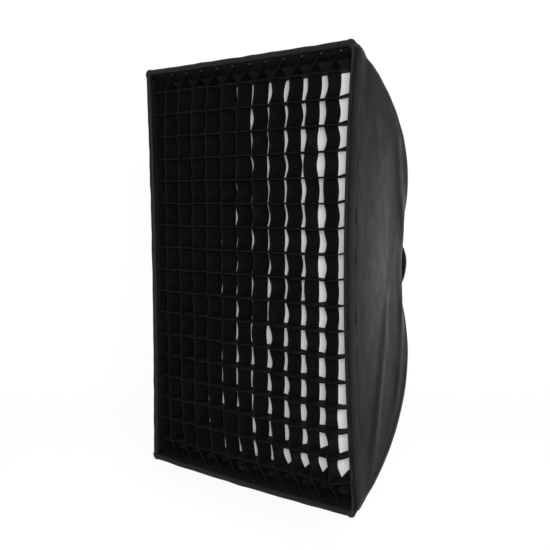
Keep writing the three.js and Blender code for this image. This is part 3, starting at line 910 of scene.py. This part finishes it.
def add_corner_patches():
    """A short reinforcing tape over each mitre of the bead, held by a light zigzag."""
    _, bead, _ = bead_profile()
    section = np.array([(0.03, -0.0016), (0.018, -0.0016)] + [
        (d - 0.0006, i - 0.0004) for d, i in bead[:-2]])
    tape, tacks = Build(), Build()
    for sx, sz in QUADRANTS:
        side = "right" if sx > 0 else "left"
        other = "top" if sz > 0 else "bottom"
        for name, end in ((side, sz), (other, sx)):
            half = front_half(name)
            f = end * (1 - np.linspace(0, 0.011, 6) / half)[None, :]
            depth, inset = section[:, :1], section[:, 1:]
            points = inside_point(name, depth, f, inset, lip_lift(name, depth, f))
            uv = stacked(lengths_along(points[:, 0])[:, None], (1 - np.abs(f)) * half)
            tape.grid(points, uv, flip=turned(name) != (end < 0))
            edge = points[2:-1, -2]
            up = edge - inside_point(name, 0.008, f[0, -2], 0.0044)
            stitches(tacks, edge + up * 0.04, up / np.linalg.norm(up, axis=1, keepdims=True),
                     length=0.0026, gap=0.0008, width=0.0008, lift=0.0002)
    piece = tape.make("corner_reinforcements", ["tape"])
    thicken(piece, 0.0008, offset=1)
    zigzags = tacks.make("corner_zigzags", ["tack"])
    return [attach(made, "softbox", "webbing") for made in (piece, zigzags)]


# ---- Corner seams, rod sleeves, rods and tip pockets ----

def add_seams():
    t = np.linspace(float(t_at(0.02)), 0.992, 90)
    depth = seam(t)[:, 1]
    bindings = []
    for number, (sx, sz) in enumerate(QUADRANTS, 1):
        low = 1.0 if sz < 0 else 0.35
        stand = (0.0008 + 0.0026 * low * smoothstep(0.03, 0.12, depth)
                 + corner_pinch("right", depth, np.full(len(t), float(sz))) * 0.9
                 + 0.0004 * ripple(depth, depth * 0, 0.06, number))
        line = seam_line(sx, sz, t, stand)
        up = diagonal(sx, sz)
        build = Build()
        sweep(build, line, up, round_profile(0.0034, 0.0062, 10, 2.6))
        _, side, normal = frames_along(line, up)
        for hand in (-1, 1):
            stitches(build, line + side * hand * 0.0017 - normal * 0.0004, side * hand, slot=1,
                     width=0.0006)
        piece = build.make(f"seam_binding_{number}", ["piping", "thread"])
        bindings.append(attach(piece, "softbox", "webbing"))
    return bindings


def add_rods():
    """Spring-steel rods in their sleeves; each sleeve is a flat tube sewn inside the seam."""
    for number, (sx, sz) in enumerate(QUADRANTS, 1):
        t = np.linspace(float(t_at(0.125)), 0.86, 60)
        centre = seam_line(sx, sz, t, -0.0092)
        up = diagonal(sx, sz)
        sleeve = Build()
        sweep(sleeve, centre, up, round_profile(0.0115, 0.0078, 14), caps=False)
        piece = sleeve.make(f"rod_sleeve_{number}", ["lining"])
        thicken(piece, 0.0006, offset=1)
        attach(piece, "softbox", "shell_nylon")
        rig.sheet(piece, flat=(0.034, 0.5), held="stretched", rests_on=[f"rod_{number}"])
        low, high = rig.box(f"corner_pocket_{number}")
        depth = np.linspace(low[1] + 0.002 - FRONT_Y, high[1] - FRONT_Y, 14)
        line = seam_line(sx, sz, t_at(depth), -0.0095)
        widths = 0.0135 + 0.002 * np.linspace(1, 0, len(line))
        pocket = Build()
        _, side, normal = frames_along(line, up)
        profile = round_profile(1, 1, 16, 2.4)
        ring = (line[:, None] + side[:, None] * profile[None, :, :1] * widths[:, None, None]
                + normal[:, None] * profile[None, :, 1:] * 0.0098)
        ring[0] = line[0] + (ring[0] - line[0]) * 0.72
        uv = stacked(depth[:, None], np.linspace(0, 0.04, 16)[None, :])
        pocket.grid(ring, uv, close_j=True)
        pocket.polygon(range(16))
        for at in (3, 8, 12):
            stitches(pocket, ring[at, [*range(16), 0]], ring[at, [*range(16), 0]] - line[at],
                     slot=1, length=0.0024)
        piece = pocket.make(f"tip_pocket_{number}", ["webbing", "tack"])
        thicken(piece, 0.0008)
        attach(piece, "softbox", "webbing", f"corner_pocket_{number}")
        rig.sheet(piece, flat=(0.046, 0.052), held="folded", rests_on=[f"rod_{number}"])


def add_cuff():
    """The elastic hem round the collar: a soft roll drawn into small gathers."""
    angles = np.linspace(0, 2 * pi, 360, endpoint=False)[:, None]
    around = np.linspace(0, 2 * pi, 18, endpoint=False)[None, :]
    gather = (0.5 + 0.5 * np.sin(64 * angles + 1.2 * np.sin(5 * angles))) ** 1.4
    size = 0.0027 + 0.0011 * gather
    middle = (CUFF_LOW[1] + CUFF_HIGH[1]) / 2
    radius = CUFF_RADIUS - 0.0024 + 0.0004 * np.sin(9 * angles) + size * np.cos(around)
    y = middle + 0.0003 * np.sin(7 * angles) + (size + 0.0004) * np.sin(around)
    points = stacked(radius * np.cos(angles), y, radius * np.sin(angles))
    build = Build()
    build.grid(points, stacked(angles * CUFF_RADIUS, around * 0.003), close_i=True, close_j=True)
    line = np.array([(CUFF_RADIUS + 0.0012) * np.array([cos(a), 0, sin(a)])
                     + np.array([0, middle - 0.003, 0]) for a in np.linspace(0, 2 * pi, 240)])
    stitches(build, line, line - np.array([0, 1, 0]) * line, slot=1)
    piece = build.make("elastic_cuff", ["elastic", "thread"])
    attach(piece, "softbox", "shell_nylon", "rear_cuff")
    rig.sheet(piece, flat=(0.62, 0.012), held="gathered", rests_on=["speed_ring_collar"])


# ---- Diffuser and inner baffle ----

DIFFUSER_Y = DIFFUSER_LOW[1] + 0.0006
DIFFUSER_CORNER, DIFFUSER_HEM = 0.014, 0.028
BAFFLE_CORNER, BAFFLE_HEM = 0.03, 0.012
STRAP_WIDTH = 0.019


def drawn_in(points, half_x, half_z):
    """Draws the diffuser's edges in or out, in place, as the lip that holds it is drawn."""
    t = float(t_at(DIFFUSER_DEPTH))
    x, z = points[..., 0].copy(), points[..., 2].copy()
    for side, (out_axis, _, sign) in SIDES.items():
        share, other = (x / half_x, z / half_z) if out_axis == 0 else (z / half_z, x / half_x)
        points[..., out_axis] -= sign * bow_at(side, t) * np.maximum(share * sign, 0) * (
            1 - other ** 2)
    return points


def rounded_sheet(half_width, half_height, corner, rows, columns):
    """A grid over a rectangle whose corners are rounded, and each point's distance inwards."""
    u, v = np.meshgrid(np.linspace(-1, 1, columns), np.linspace(-1, 1, rows))
    x, z = u * half_width, v * half_height
    over_x = np.maximum(np.abs(x) - (half_width - corner), 0)
    over_z = np.maximum(np.abs(z) - (half_height - corner), 0)
    size = np.maximum(over_x, over_z)
    reach = np.hypot(over_x, over_z)
    k = np.where(reach > 1e-9, size / np.maximum(reach, 1e-9), 1)
    x = np.sign(x) * (np.abs(x) - over_x * (1 - k))
    z = np.sign(z) * (np.abs(z) - over_z * (1 - k))
    edge = np.minimum(half_width - np.abs(x), half_height - np.abs(z))
    return x, z, edge


def add_diffuser():
    half_x, half_z = DIFFUSER_HIGH[0] - 0.0002, DIFFUSER_HIGH[2]
    x, z, edge = rounded_sheet(half_x, half_z, DIFFUSER_CORNER, 220, 150)
    fade = smoothstep(0.004, 0.05, edge)
    creases = np.zeros_like(x)
    chooser = np.random.default_rng(31)
    for _ in range(26):
        cx, cz = chooser.uniform(-half_x, half_x), chooser.uniform(-half_z, half_z)
        lean, reach = chooser.uniform(-0.1, 0.1), chooser.uniform(0.08, 0.3)
        across = (x - cx - lean * (z - cz)) / chooser.uniform(0.005, 0.011)
        creases += chooser.uniform(-1, 1) * np.exp(-across ** 2 - ((z - cz) / reach) ** 2)
    pucker = np.exp(-edge / 0.016) * ripple(x + z, x - z, 0.03, 32)
    wave = ripple(x * 1.6, z * 0.5, 0.22, 33)
    y = DIFFUSER_Y + fade * (0.0011 * creases + 0.0011 * wave) + 0.0005 * pucker
    build = Build()
    build.grid(drawn_in(stacked(x, y, z), half_x, half_z), stacked(x, z), flip=True)
    piece = build.make("diffuser_cloth_panel", ["diffuser"])
    thicken(piece, 0.0004, offset=0)
    attach(piece, "front_diffuser", "diffuser_cloth", "front_diffuser")
    hem = hem_border("diffuser", half_x, half_z, DIFFUSER_CORNER, DIFFUSER_Y, DIFFUSER_HEM,
                     "front_diffuser", "webbing", "loop", bowed=True)
    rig.sheet(piece, flat=(2 * half_x, 2 * half_z), held="stretched", with_pieces=[hem],
             rests_on=[f"lip_{side}_bead" for side in SIDES])


def hem_border(name, half_x, half_z, corner, y, width, body, slot, material, bowed=False):
    """A folded hem all round a sheet, on both faces, with two rows of stitches."""
    outline = []
    for sx, sz, start in ((1, 1, 0), (-1, 1, 90), (-1, -1, 180), (1, -1, 270)):
        for a in np.linspace(0, 90, 9):
            turn = radians(start + a)
            outline.append((sx * (half_x - corner) + corner * cos(turn),
                            sz * (half_z - corner) + corner * sin(turn)))
    outline = np.array(outline + outline[:1])
    fine = resample(np.c_[outline[:, 0], np.zeros(len(outline)), outline[:, 1]], 400)[:-1]
    inward = -fine / np.linalg.norm(fine, axis=1, keepdims=True)
    step = np.roll(fine, -1, 0) - np.roll(fine, 1, 0)
    across = np.cross(step, (0, 1, 0))
    across /= np.linalg.norm(across, axis=1, keepdims=True)
    across *= np.sign((across * inward).sum(axis=1, keepdims=True))
    section = [(width, -0.0008), (width * 0.5, -0.0011), (0.0, -0.001), (-0.0013, 0.0),
               (0.0, 0.001), (width * 0.5, 0.0011), (width, 0.0008)]
    points = np.stack([fine + across * i + np.array([0, y + d, 0]) for i, d in section])
    if bowed:
        drawn_in(points, half_x, half_z)
    uv = stacked(lengths_along(fine)[None, :], np.array([i for i, _ in section])[:, None])
    build = Build()
    build.grid(points, uv, close_i=True, close_j=True)
    for at in (0.0022, width - 0.0022):
        line = fine + across * at + np.array([0, y - 0.001, 0])
        if bowed:
            drawn_in(line, half_x, half_z)
        stitches(build, line, (0, -1, 0), slot=1)
    piece = build.make(f"{name}_hem", [material, "tack" if material == "diffuser" else "thread"])
    return attach(piece, body, slot)


def add_baffle():
    half_x, half_z = BAFFLE_HIGH[0], BAFFLE_HIGH[2]
    y = (BAFFLE_LOW[1] + BAFFLE_HIGH[1]) / 2
    x, z, edge = rounded_sheet(half_x, half_z, BAFFLE_CORNER, 120, 80)
    corners = np.exp(-np.hypot(np.abs(x) - half_x, np.abs(z) - half_z) / 0.06)
    pull = corners * np.sin(np.arctan2(half_z - np.abs(z), half_x - np.abs(x)) * 12) * 0.0022
    sway = 0.0022 * ripple(x, z * 0.7, 0.2, 41) * smoothstep(0, 0.05, edge)
    build = Build()
    build.grid(stacked(x, y + pull + sway, z), stacked(x, z), flip=True)
    piece = build.make("baffle_cloth", ["diffuser"])
    thicken(piece, 0.0004, offset=0)
    attach(piece, "softbox", "diffuser_cloth", "inner_baffle")
    hem = hem_border("baffle", half_x, half_z, BAFFLE_CORNER, y, BAFFLE_HEM, "softbox",
                     "diffuser_cloth", "diffuser")
    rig.sheet(piece, flat=(2 * half_x, 2 * half_z), held="stretched", with_pieces=[hem],
             rests_on=[f"baffle_strap_{k}_web" for k in range(1, 5)])
    for number, (sx, sz) in enumerate(QUADRANTS, 1):
        low, high = (np.abs(v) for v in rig.box(f"baffle_strap_{number}"))
        near = np.minimum(low, high) * (sx, 0, sz) + (0, y, 0)
        far = np.maximum(low, high) * (sx, 0, sz) + (0, y, 0)
        along = far - near
        length = np.linalg.norm(along)
        along /= length
        u = np.linspace(0.004, length - 0.006, 26)[:, None]
        v = STRAP_WIDTH * np.linspace(-0.5, 0.5, 7)[None, :]
        side = np.cross(along, (0, 1, 0))
        twist = 0.5 * np.sin(pi * u / length)
        points = (near + along * u[..., None] + side * (v * np.cos(twist))[..., None]
                  + np.array([0, 1, 0]) * (v * np.sin(twist))[..., None])
        build = Build()
        build.grid(points, stacked(u, v))
        strap = build.make(f"baffle_strap_{number}_web", ["webbing"])
        thicken(strap, 0.0013, offset=0)
        attach(strap, "softbox", "webbing", f"baffle_strap_{number}")
        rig.sheet(strap, flat=(STRAP_WIDTH, float(length)), held="stretched",
                 rests_on=["baffle_cloth"])


# ---- Egg-crate grid ----

COLUMNS, ROWS = 12, 18
COLUMN_PITCH, ROW_PITCH = 0.0483, 0.0499
GRID_SIDE, GRID_END = 0.29, 0.4372
GRID_RIGHT = 0.2925
GRID_TAPER = {"right": 0.0042, "left": 0.0042, "top": 0.0095, "bottom": 0.0095}
# How deep the hems are, and how thick.
H_HEM, V_HEM, BORDER_HEM = 0.0045, 0.0036, 0.0055
H_HEM_THICK, V_HEM_THICK = 0.0028, 0.0022
SLOT_WIDTH = 0.0018
# Flat width of every strip and border, and flat lengths of the strips.
STRIP_FLAT, UPRIGHT_FLAT, LEVEL_FLAT = 0.04, 0.873, 0.574
# Steps along each cell, and along the end cells of an upright strip, which are turned over.
CELL_STEPS, END_STEPS = 10, 12


def side_edge(sign, z):
    """X of the grid's side border at its front, which follows the bowed lip."""
    bow = FRONT_BOW["right" if sign > 0 else "left"]
    reach = GRID_RIGHT if sign > 0 else GRID_SIDE
    return sign * (reach - bow * (1 - (z / HALF_HEIGHT) ** 2))


def end_edge(sign, x):
    bow = FRONT_BOW["top" if sign > 0 else "bottom"]
    return sign * (GRID_END - bow * (1 - (x / HALF_WIDTH) ** 2))


def column_x(x, z, q=0.0):
    """Where the point x of the flat lattice hangs at the share q of its depth.

    The whole lattice is drawn towards the left, and its front edges more than its rear ones.
    """
    slack = 1 - np.minimum(np.abs(z / 0.437), 1) ** 8
    draw = 0.019 * (1 - ((x - 0.09) / 0.38) ** 2)
    lean = (0.07 + 0.25 * smoothstep(-0.2, 0.05, z)) * (1 - 0.9 * smoothstep(0.08, 0.21, x))
    return x - slack * (0.004 + draw * (1 - lean * q))


def row_lift(x, z):
    """The rows rise a little where they meet the right border."""
    over = np.maximum(x - 0.225, 0) / 0.05
    low = 1 - smoothstep(-0.38, -0.22, z)
    return (0.001 + 0.007 * (1 - (z / 0.44) ** 2) + 0.0075 * low) * over ** 2


def strip_mesh(name, points, uv, hem, slots_at=(), slots_front=False, plain_ends=0,
               cloths=("grid", "hem")):
    """A strip: points[i, j] with i along and j across; slots are the i whose faces are cut."""
    columns = points.shape[1]
    half = (columns - 1) // 2

    def keep(i, j):
        return not (i in slots_at and (j < half if slots_front else j >= half))

    build = Build()
    last = len(points) - 1 - plain_ends
    build.grid(points, uv, keep=keep, slot=lambda i, j: int(
        j in (0, columns - 2) or i < plain_ends or i >= last))
    piece = build.make(name, cloths)
    group = piece.vertex_groups.new(name="hem")
    for index in range(len(piece.data.vertices)):
        if index % columns in (0, 1, columns - 2, columns - 1):
            group.add([index], 1.0, "REPLACE")
    thicken(piece, hem, offset=0, group="hem", least=0.001 / hem)
    return piece


def strip_uv(run, depths):
    return stacked(np.asarray(run)[:, None], depths[None, :])


def cross_positions(hem):
    """Depths across a strip with its two hems, and what share of its width each one is."""
    d = GRID_DEPTH
    depths = GRID_FRONT + np.array(
        [0, hem, 0.25 * d, 0.375 * d, 0.5 * d, 0.625 * d, 0.75 * d, d - hem, d])
    return depths, (depths - GRID_FRONT) / d


def stations(ends, crossings, at_ends=CELL_STEPS):
    """Positions along a strip as (value, cell, share), and the gaps that the slots cut."""
    marks = [ends[0], *crossings, ends[1]]
    out, cuts = [], set()
    for cell in range(len(marks) - 1):
        low = marks[cell] + (SLOT_WIDTH / 2 if cell else 0)
        high = marks[cell + 1] - (SLOT_WIDTH / 2 if cell + 2 < len(marks) else 0)
        last = cell in (0, len(marks) - 2)
        for share in np.linspace(0, 1, (at_ends if last else CELL_STEPS) + 1):
            out.append((low + (high - low) * share, cell, share))
        if cell + 2 < len(marks):
            cuts.add(len(out) - 1)
    return out, cuts


def add_upright_strips():
    chooser = np.random.default_rng(11)
    depths, q = cross_positions(V_HEM)
    last = ROWS - 1
    dots = Build()
    for number in range(1, COLUMNS):
        x0 = COLUMN_PITCH * (number - COLUMNS / 2)
        ends = (end_edge(-1, x0), end_edge(1, x0))
        crossings = [ROW_PITCH * k for k in range(1 - ROWS // 2, ROWS // 2)]
        places, cuts = stations(ends, crossings, END_STEPS)
        front, rear = (
            chooser.uniform(least, most, ROWS) * chooser.choice([1, -0.6], ROWS, p=[0.85, 0.15])
            for least, most in ((0.0015, 0.0075), (0.001, 0.007)))
        # Towards the left the strips swing less in front, and all one way at the back.
        closed = 1 - smoothstep(-0.15, 0.08, x0)
        front *= 1 - 0.7 * closed
        rear = rear * (1 - closed) + closed * (0.003 + np.abs(rear) * 0.5)
        rear[:ROWS // 2] *= 0.6
        if number >= 8:
            rear[1] = -0.0075
        curl = chooser.uniform(-0.0016, 0.0016, ROWS)
        points = np.empty((len(places), len(depths), 3))
        for i, (z, cell, share) in enumerate(places):
            x = column_x(x0, z, q)
            points[i, :, 2] = z
            if cell in (0, last):
                s = share if cell == last else 1 - share
                angle = asin(min(1, s) * 0.985)
                middle = GRID_FRONT + GRID_DEPTH / 2 - 0.0185 * (1 - cos(angle))
                offset = (q - 0.5) * GRID_DEPTH
                curve = 0.0022 * sin(pi * s) * (1 - (2 * q - 1) ** 2)
                points[i, :, 0] = x - offset * sin(angle) + 0.002 * s + curve
                points[i, :, 1] = FRONT_Y + middle + offset * cos(angle) + 0.0005 * s
            else:
                bulge = sin(pi * share) ** 1.25
                swing = sin(2 * pi * share)
                points[i, :, 0] = (x + bulge * (front[cell] * (1 - q) + rear[cell] * q)
                                   + curl[cell] * swing * (1 - q))
                points[i, :, 1] = FRONT_Y + depths + 0.0012 * bulge * (0.5 - q)
        uv = strip_uv([p[0] for p in places], depths)
        piece = strip_mesh(f"strip_v_{number:02d}_cloth", points, uv, V_HEM_THICK, cuts,
                           True, END_STEPS)
        attach(piece, "grid", "grid_cloth", f"grid_strip_v_{number:02d}")
        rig.sheet(piece, flat=(STRIP_FLAT, UPRIGHT_FLAT), held="stretched",
                 rests_on=["border_top_band", "border_bottom_band"])
        for sign, end in ((-1, points[0]), (1, points[-1])):
            line = end[0] + np.array([[-0.0018, -0.0014, 0], [0.0018, -0.0014, 0]])
            for row in range(4):
                stitches(dots, line - np.array([0, 0, sign * (0.0006 + 0.0008 * row)]),
                         (0, -1, 0), slot=int(sign < 0), length=0.0034, gap=0.0001, width=0.0008)
    return attach(dots.make("strip_bartacks", ["tack", "thread"]), "grid", "grid_cloth")


def add_level_strips():
    chooser = np.random.default_rng(12)
    depths, q = cross_positions(H_HEM)
    for number in range(1, ROWS):
        z0 = ROW_PITCH * (number - ROWS / 2)
        ends = (side_edge(-1, z0), side_edge(1, z0))
        columns = [COLUMN_PITCH * k for k in range(1 - COLUMNS // 2, COLUMNS // 2)]
        places, cuts = stations(ends, [column_x(x, z0) for x in columns])
        marks = np.array([ends[0] + GRID_TAPER["left"] * q, *(column_x(x, z0, q) for x in columns),
                          ends[1] - GRID_TAPER["right"] * q])
        front = chooser.uniform(-0.0014, 0.0012, COLUMNS)
        rear = chooser.uniform(-0.003, 0.0028, COLUMNS)
        if number <= 2:
            rear[-4:] += (0.002, 0.005, 0.009, 0.007)
        if number == 1:
            rear[-4:] += (0.01, 0.012, 0.012, 0.013)
        rise = 0.0122 * max(0.0, z0 - 0.169)
        tilt = chooser.uniform(-0.0006, 0.0006)
        points = np.empty((len(places), len(depths), 3))
        for i, (x, cell, share) in enumerate(places):
            bulge = sin(pi * share) ** 1.3
            drift = marks[cell] * (1 - share) + marks[cell + 1] * share
            sag = bulge * (front[cell] * (1 - q) + rear[cell] * q)
            points[i, :, 0] = x + drift - drift[0]
            points[i, :, 1] = FRONT_Y + depths
            points[i, :, 2] = (z0 + row_lift(x, z0) + sag + tilt * x / 0.3
                               + rise * smoothstep(0.08, 0.22, x) * q)
        uv = strip_uv([p[0] for p in places], depths)
        # Both faces and hems of a level strip take the darker copy of the grid cloth: painted shade under each row.
        piece = strip_mesh(f"strip_h_{number:02d}_cloth", points, uv, H_HEM_THICK, cuts,
                           cloths=("row", "row"))
        attach(piece, "grid", "grid_cloth", f"grid_strip_h_{number:02d}")
        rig.sheet(piece, flat=(STRIP_FLAT, LEVEL_FLAT), held="stretched",
                 rests_on=["border_right_band", "border_left_band"])


def add_grid_borders(bartacks):
    thread = Build()
    bands = []
    depths, q = cross_positions(BORDER_HEM)
    for side, (out_axis, along_axis, sign) in SIDES.items():
        edge, end = (side_edge, end_edge) if out_axis == 0 else (end_edge, side_edge)
        out, half = (GRID_SIDE, GRID_END) if out_axis == 0 else (GRID_END, GRID_SIDE)
        rise = GRID_TAPER["top" if along_axis == 2 else "right"]
        low, high = end(-1, sign * out), end(1, sign * out)
        run = np.linspace(0, 1, 110)
        points = np.empty((len(run), len(depths), 3))
        for i, share in enumerate(run):
            along = low + (high - low) * share
            wave = 0.0007 * sin(along * 63 + 7 * out_axis) * (1 - (along / half) ** 2)
            points[i, :, out_axis] = edge(sign, along) - sign * GRID_TAPER[side] * q + wave
            points[i, :, along_axis] = along * (1 - rise / half * q)
            points[i, :, 1] = FRONT_Y + depths
        uv = strip_uv(run * 2 * half, depths)
        piece = strip_mesh(f"border_{side}_band", points, uv, V_HEM_THICK)
        attach(piece, "grid", "grid_cloth", f"grid_border_{side}")
        inward = np.zeros(3)
        inward[out_axis] = -sign
        for j in (1, 7):
            stitches(thread, points[2:-2, j] + inward * 0.0011, inward)
        build = Build()
        build.grid(points[2:-2, 2:7] - inward * 0.0014, uv[2:-2, 2:7])
        tape = build.make(f"border_{side}_hook_tape", ["loop"])
        thicken(tape, 0.0012, offset=0)
        bands.append((piece, attach(tape, "grid", "grid_cloth"), side, half))
    thread = attach(thread.make("border_topstitch", ["thread"]), "grid", "grid_cloth")
    for piece, tape, side, half in bands:
        sewn = [tape] + ([thread, bartacks] if side == "top" else [])
        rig.sheet(piece, flat=(STRIP_FLAT, 2 * half), held="stretched", with_pieces=sewn,
                 rests_on=[f"lip_{side}_bead"])


# ---- Hardware ----

def refine(node, key, body, slot, bevel=0.0, angle=28):
    """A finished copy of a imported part: the same solid with rounded edges and smooth curves."""
    source = bpy.data.objects[node]
    mesh = source.data.copy()
    mesh.transform(source.matrix_world)
    mesh.materials.clear()
    mesh.materials.append(MATERIALS[key])
    for polygon in mesh.polygons:
        polygon.material_index = 0
    weld = bmesh.new()
    weld.from_mesh(mesh)
    bmesh.ops.remove_doubles(weld, verts=weld.verts, dist=1e-5)
    weld.to_mesh(mesh)
    weld.free()
    mesh.shade_smooth()
    mesh.set_sharp_from_angle(angle=radians(angle))
    piece = linked(f"{node}_finished", mesh)
    if bevel:
        modifier = piece.modifiers.new("edges", "BEVEL")
        modifier.width, modifier.segments = bevel, 3
        modifier.limit_method, modifier.angle_limit = "ANGLE", radians(angle)
        modifier.harden_normals = True
    return attach(piece, body, slot, node)


def add_hardware():
    refine("bayonet_ring", "steel", "bayonet", "bayonet_steel", 0.0005)
    refine("retaining_ring", "rod", "bayonet", "bayonet_steel", 0.0003)
    refine("speed_ring_collar", "collar", "softbox", "collar_aluminium", 0.0006)
    refine("lock_knob", "plastic", "lock_knob", "knob_plastic", 0.0006)
    refine("brake_shoe", "rubber", "brake_shoe", "shoe_rubber", 0.0003)
    for number in range(1, 5):
        refine(f"rod_{number}", "rod", "softbox", "rod_steel", angle=40)


# ---- The object ----

MATERIALS = make_materials()
add_camera()
add_studio()
add_hardware()
add_rods()
add_panels(add_seams())
add_lips(add_corner_patches())
add_cuff()
add_baffle()
add_diffuser()
add_level_strips()
add_grid_borders(add_upright_strips())

with open("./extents.json", "w") as out:
    json.dump({"cad": CAD_BOX, "visual": [list(v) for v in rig.bounds()]}, out)
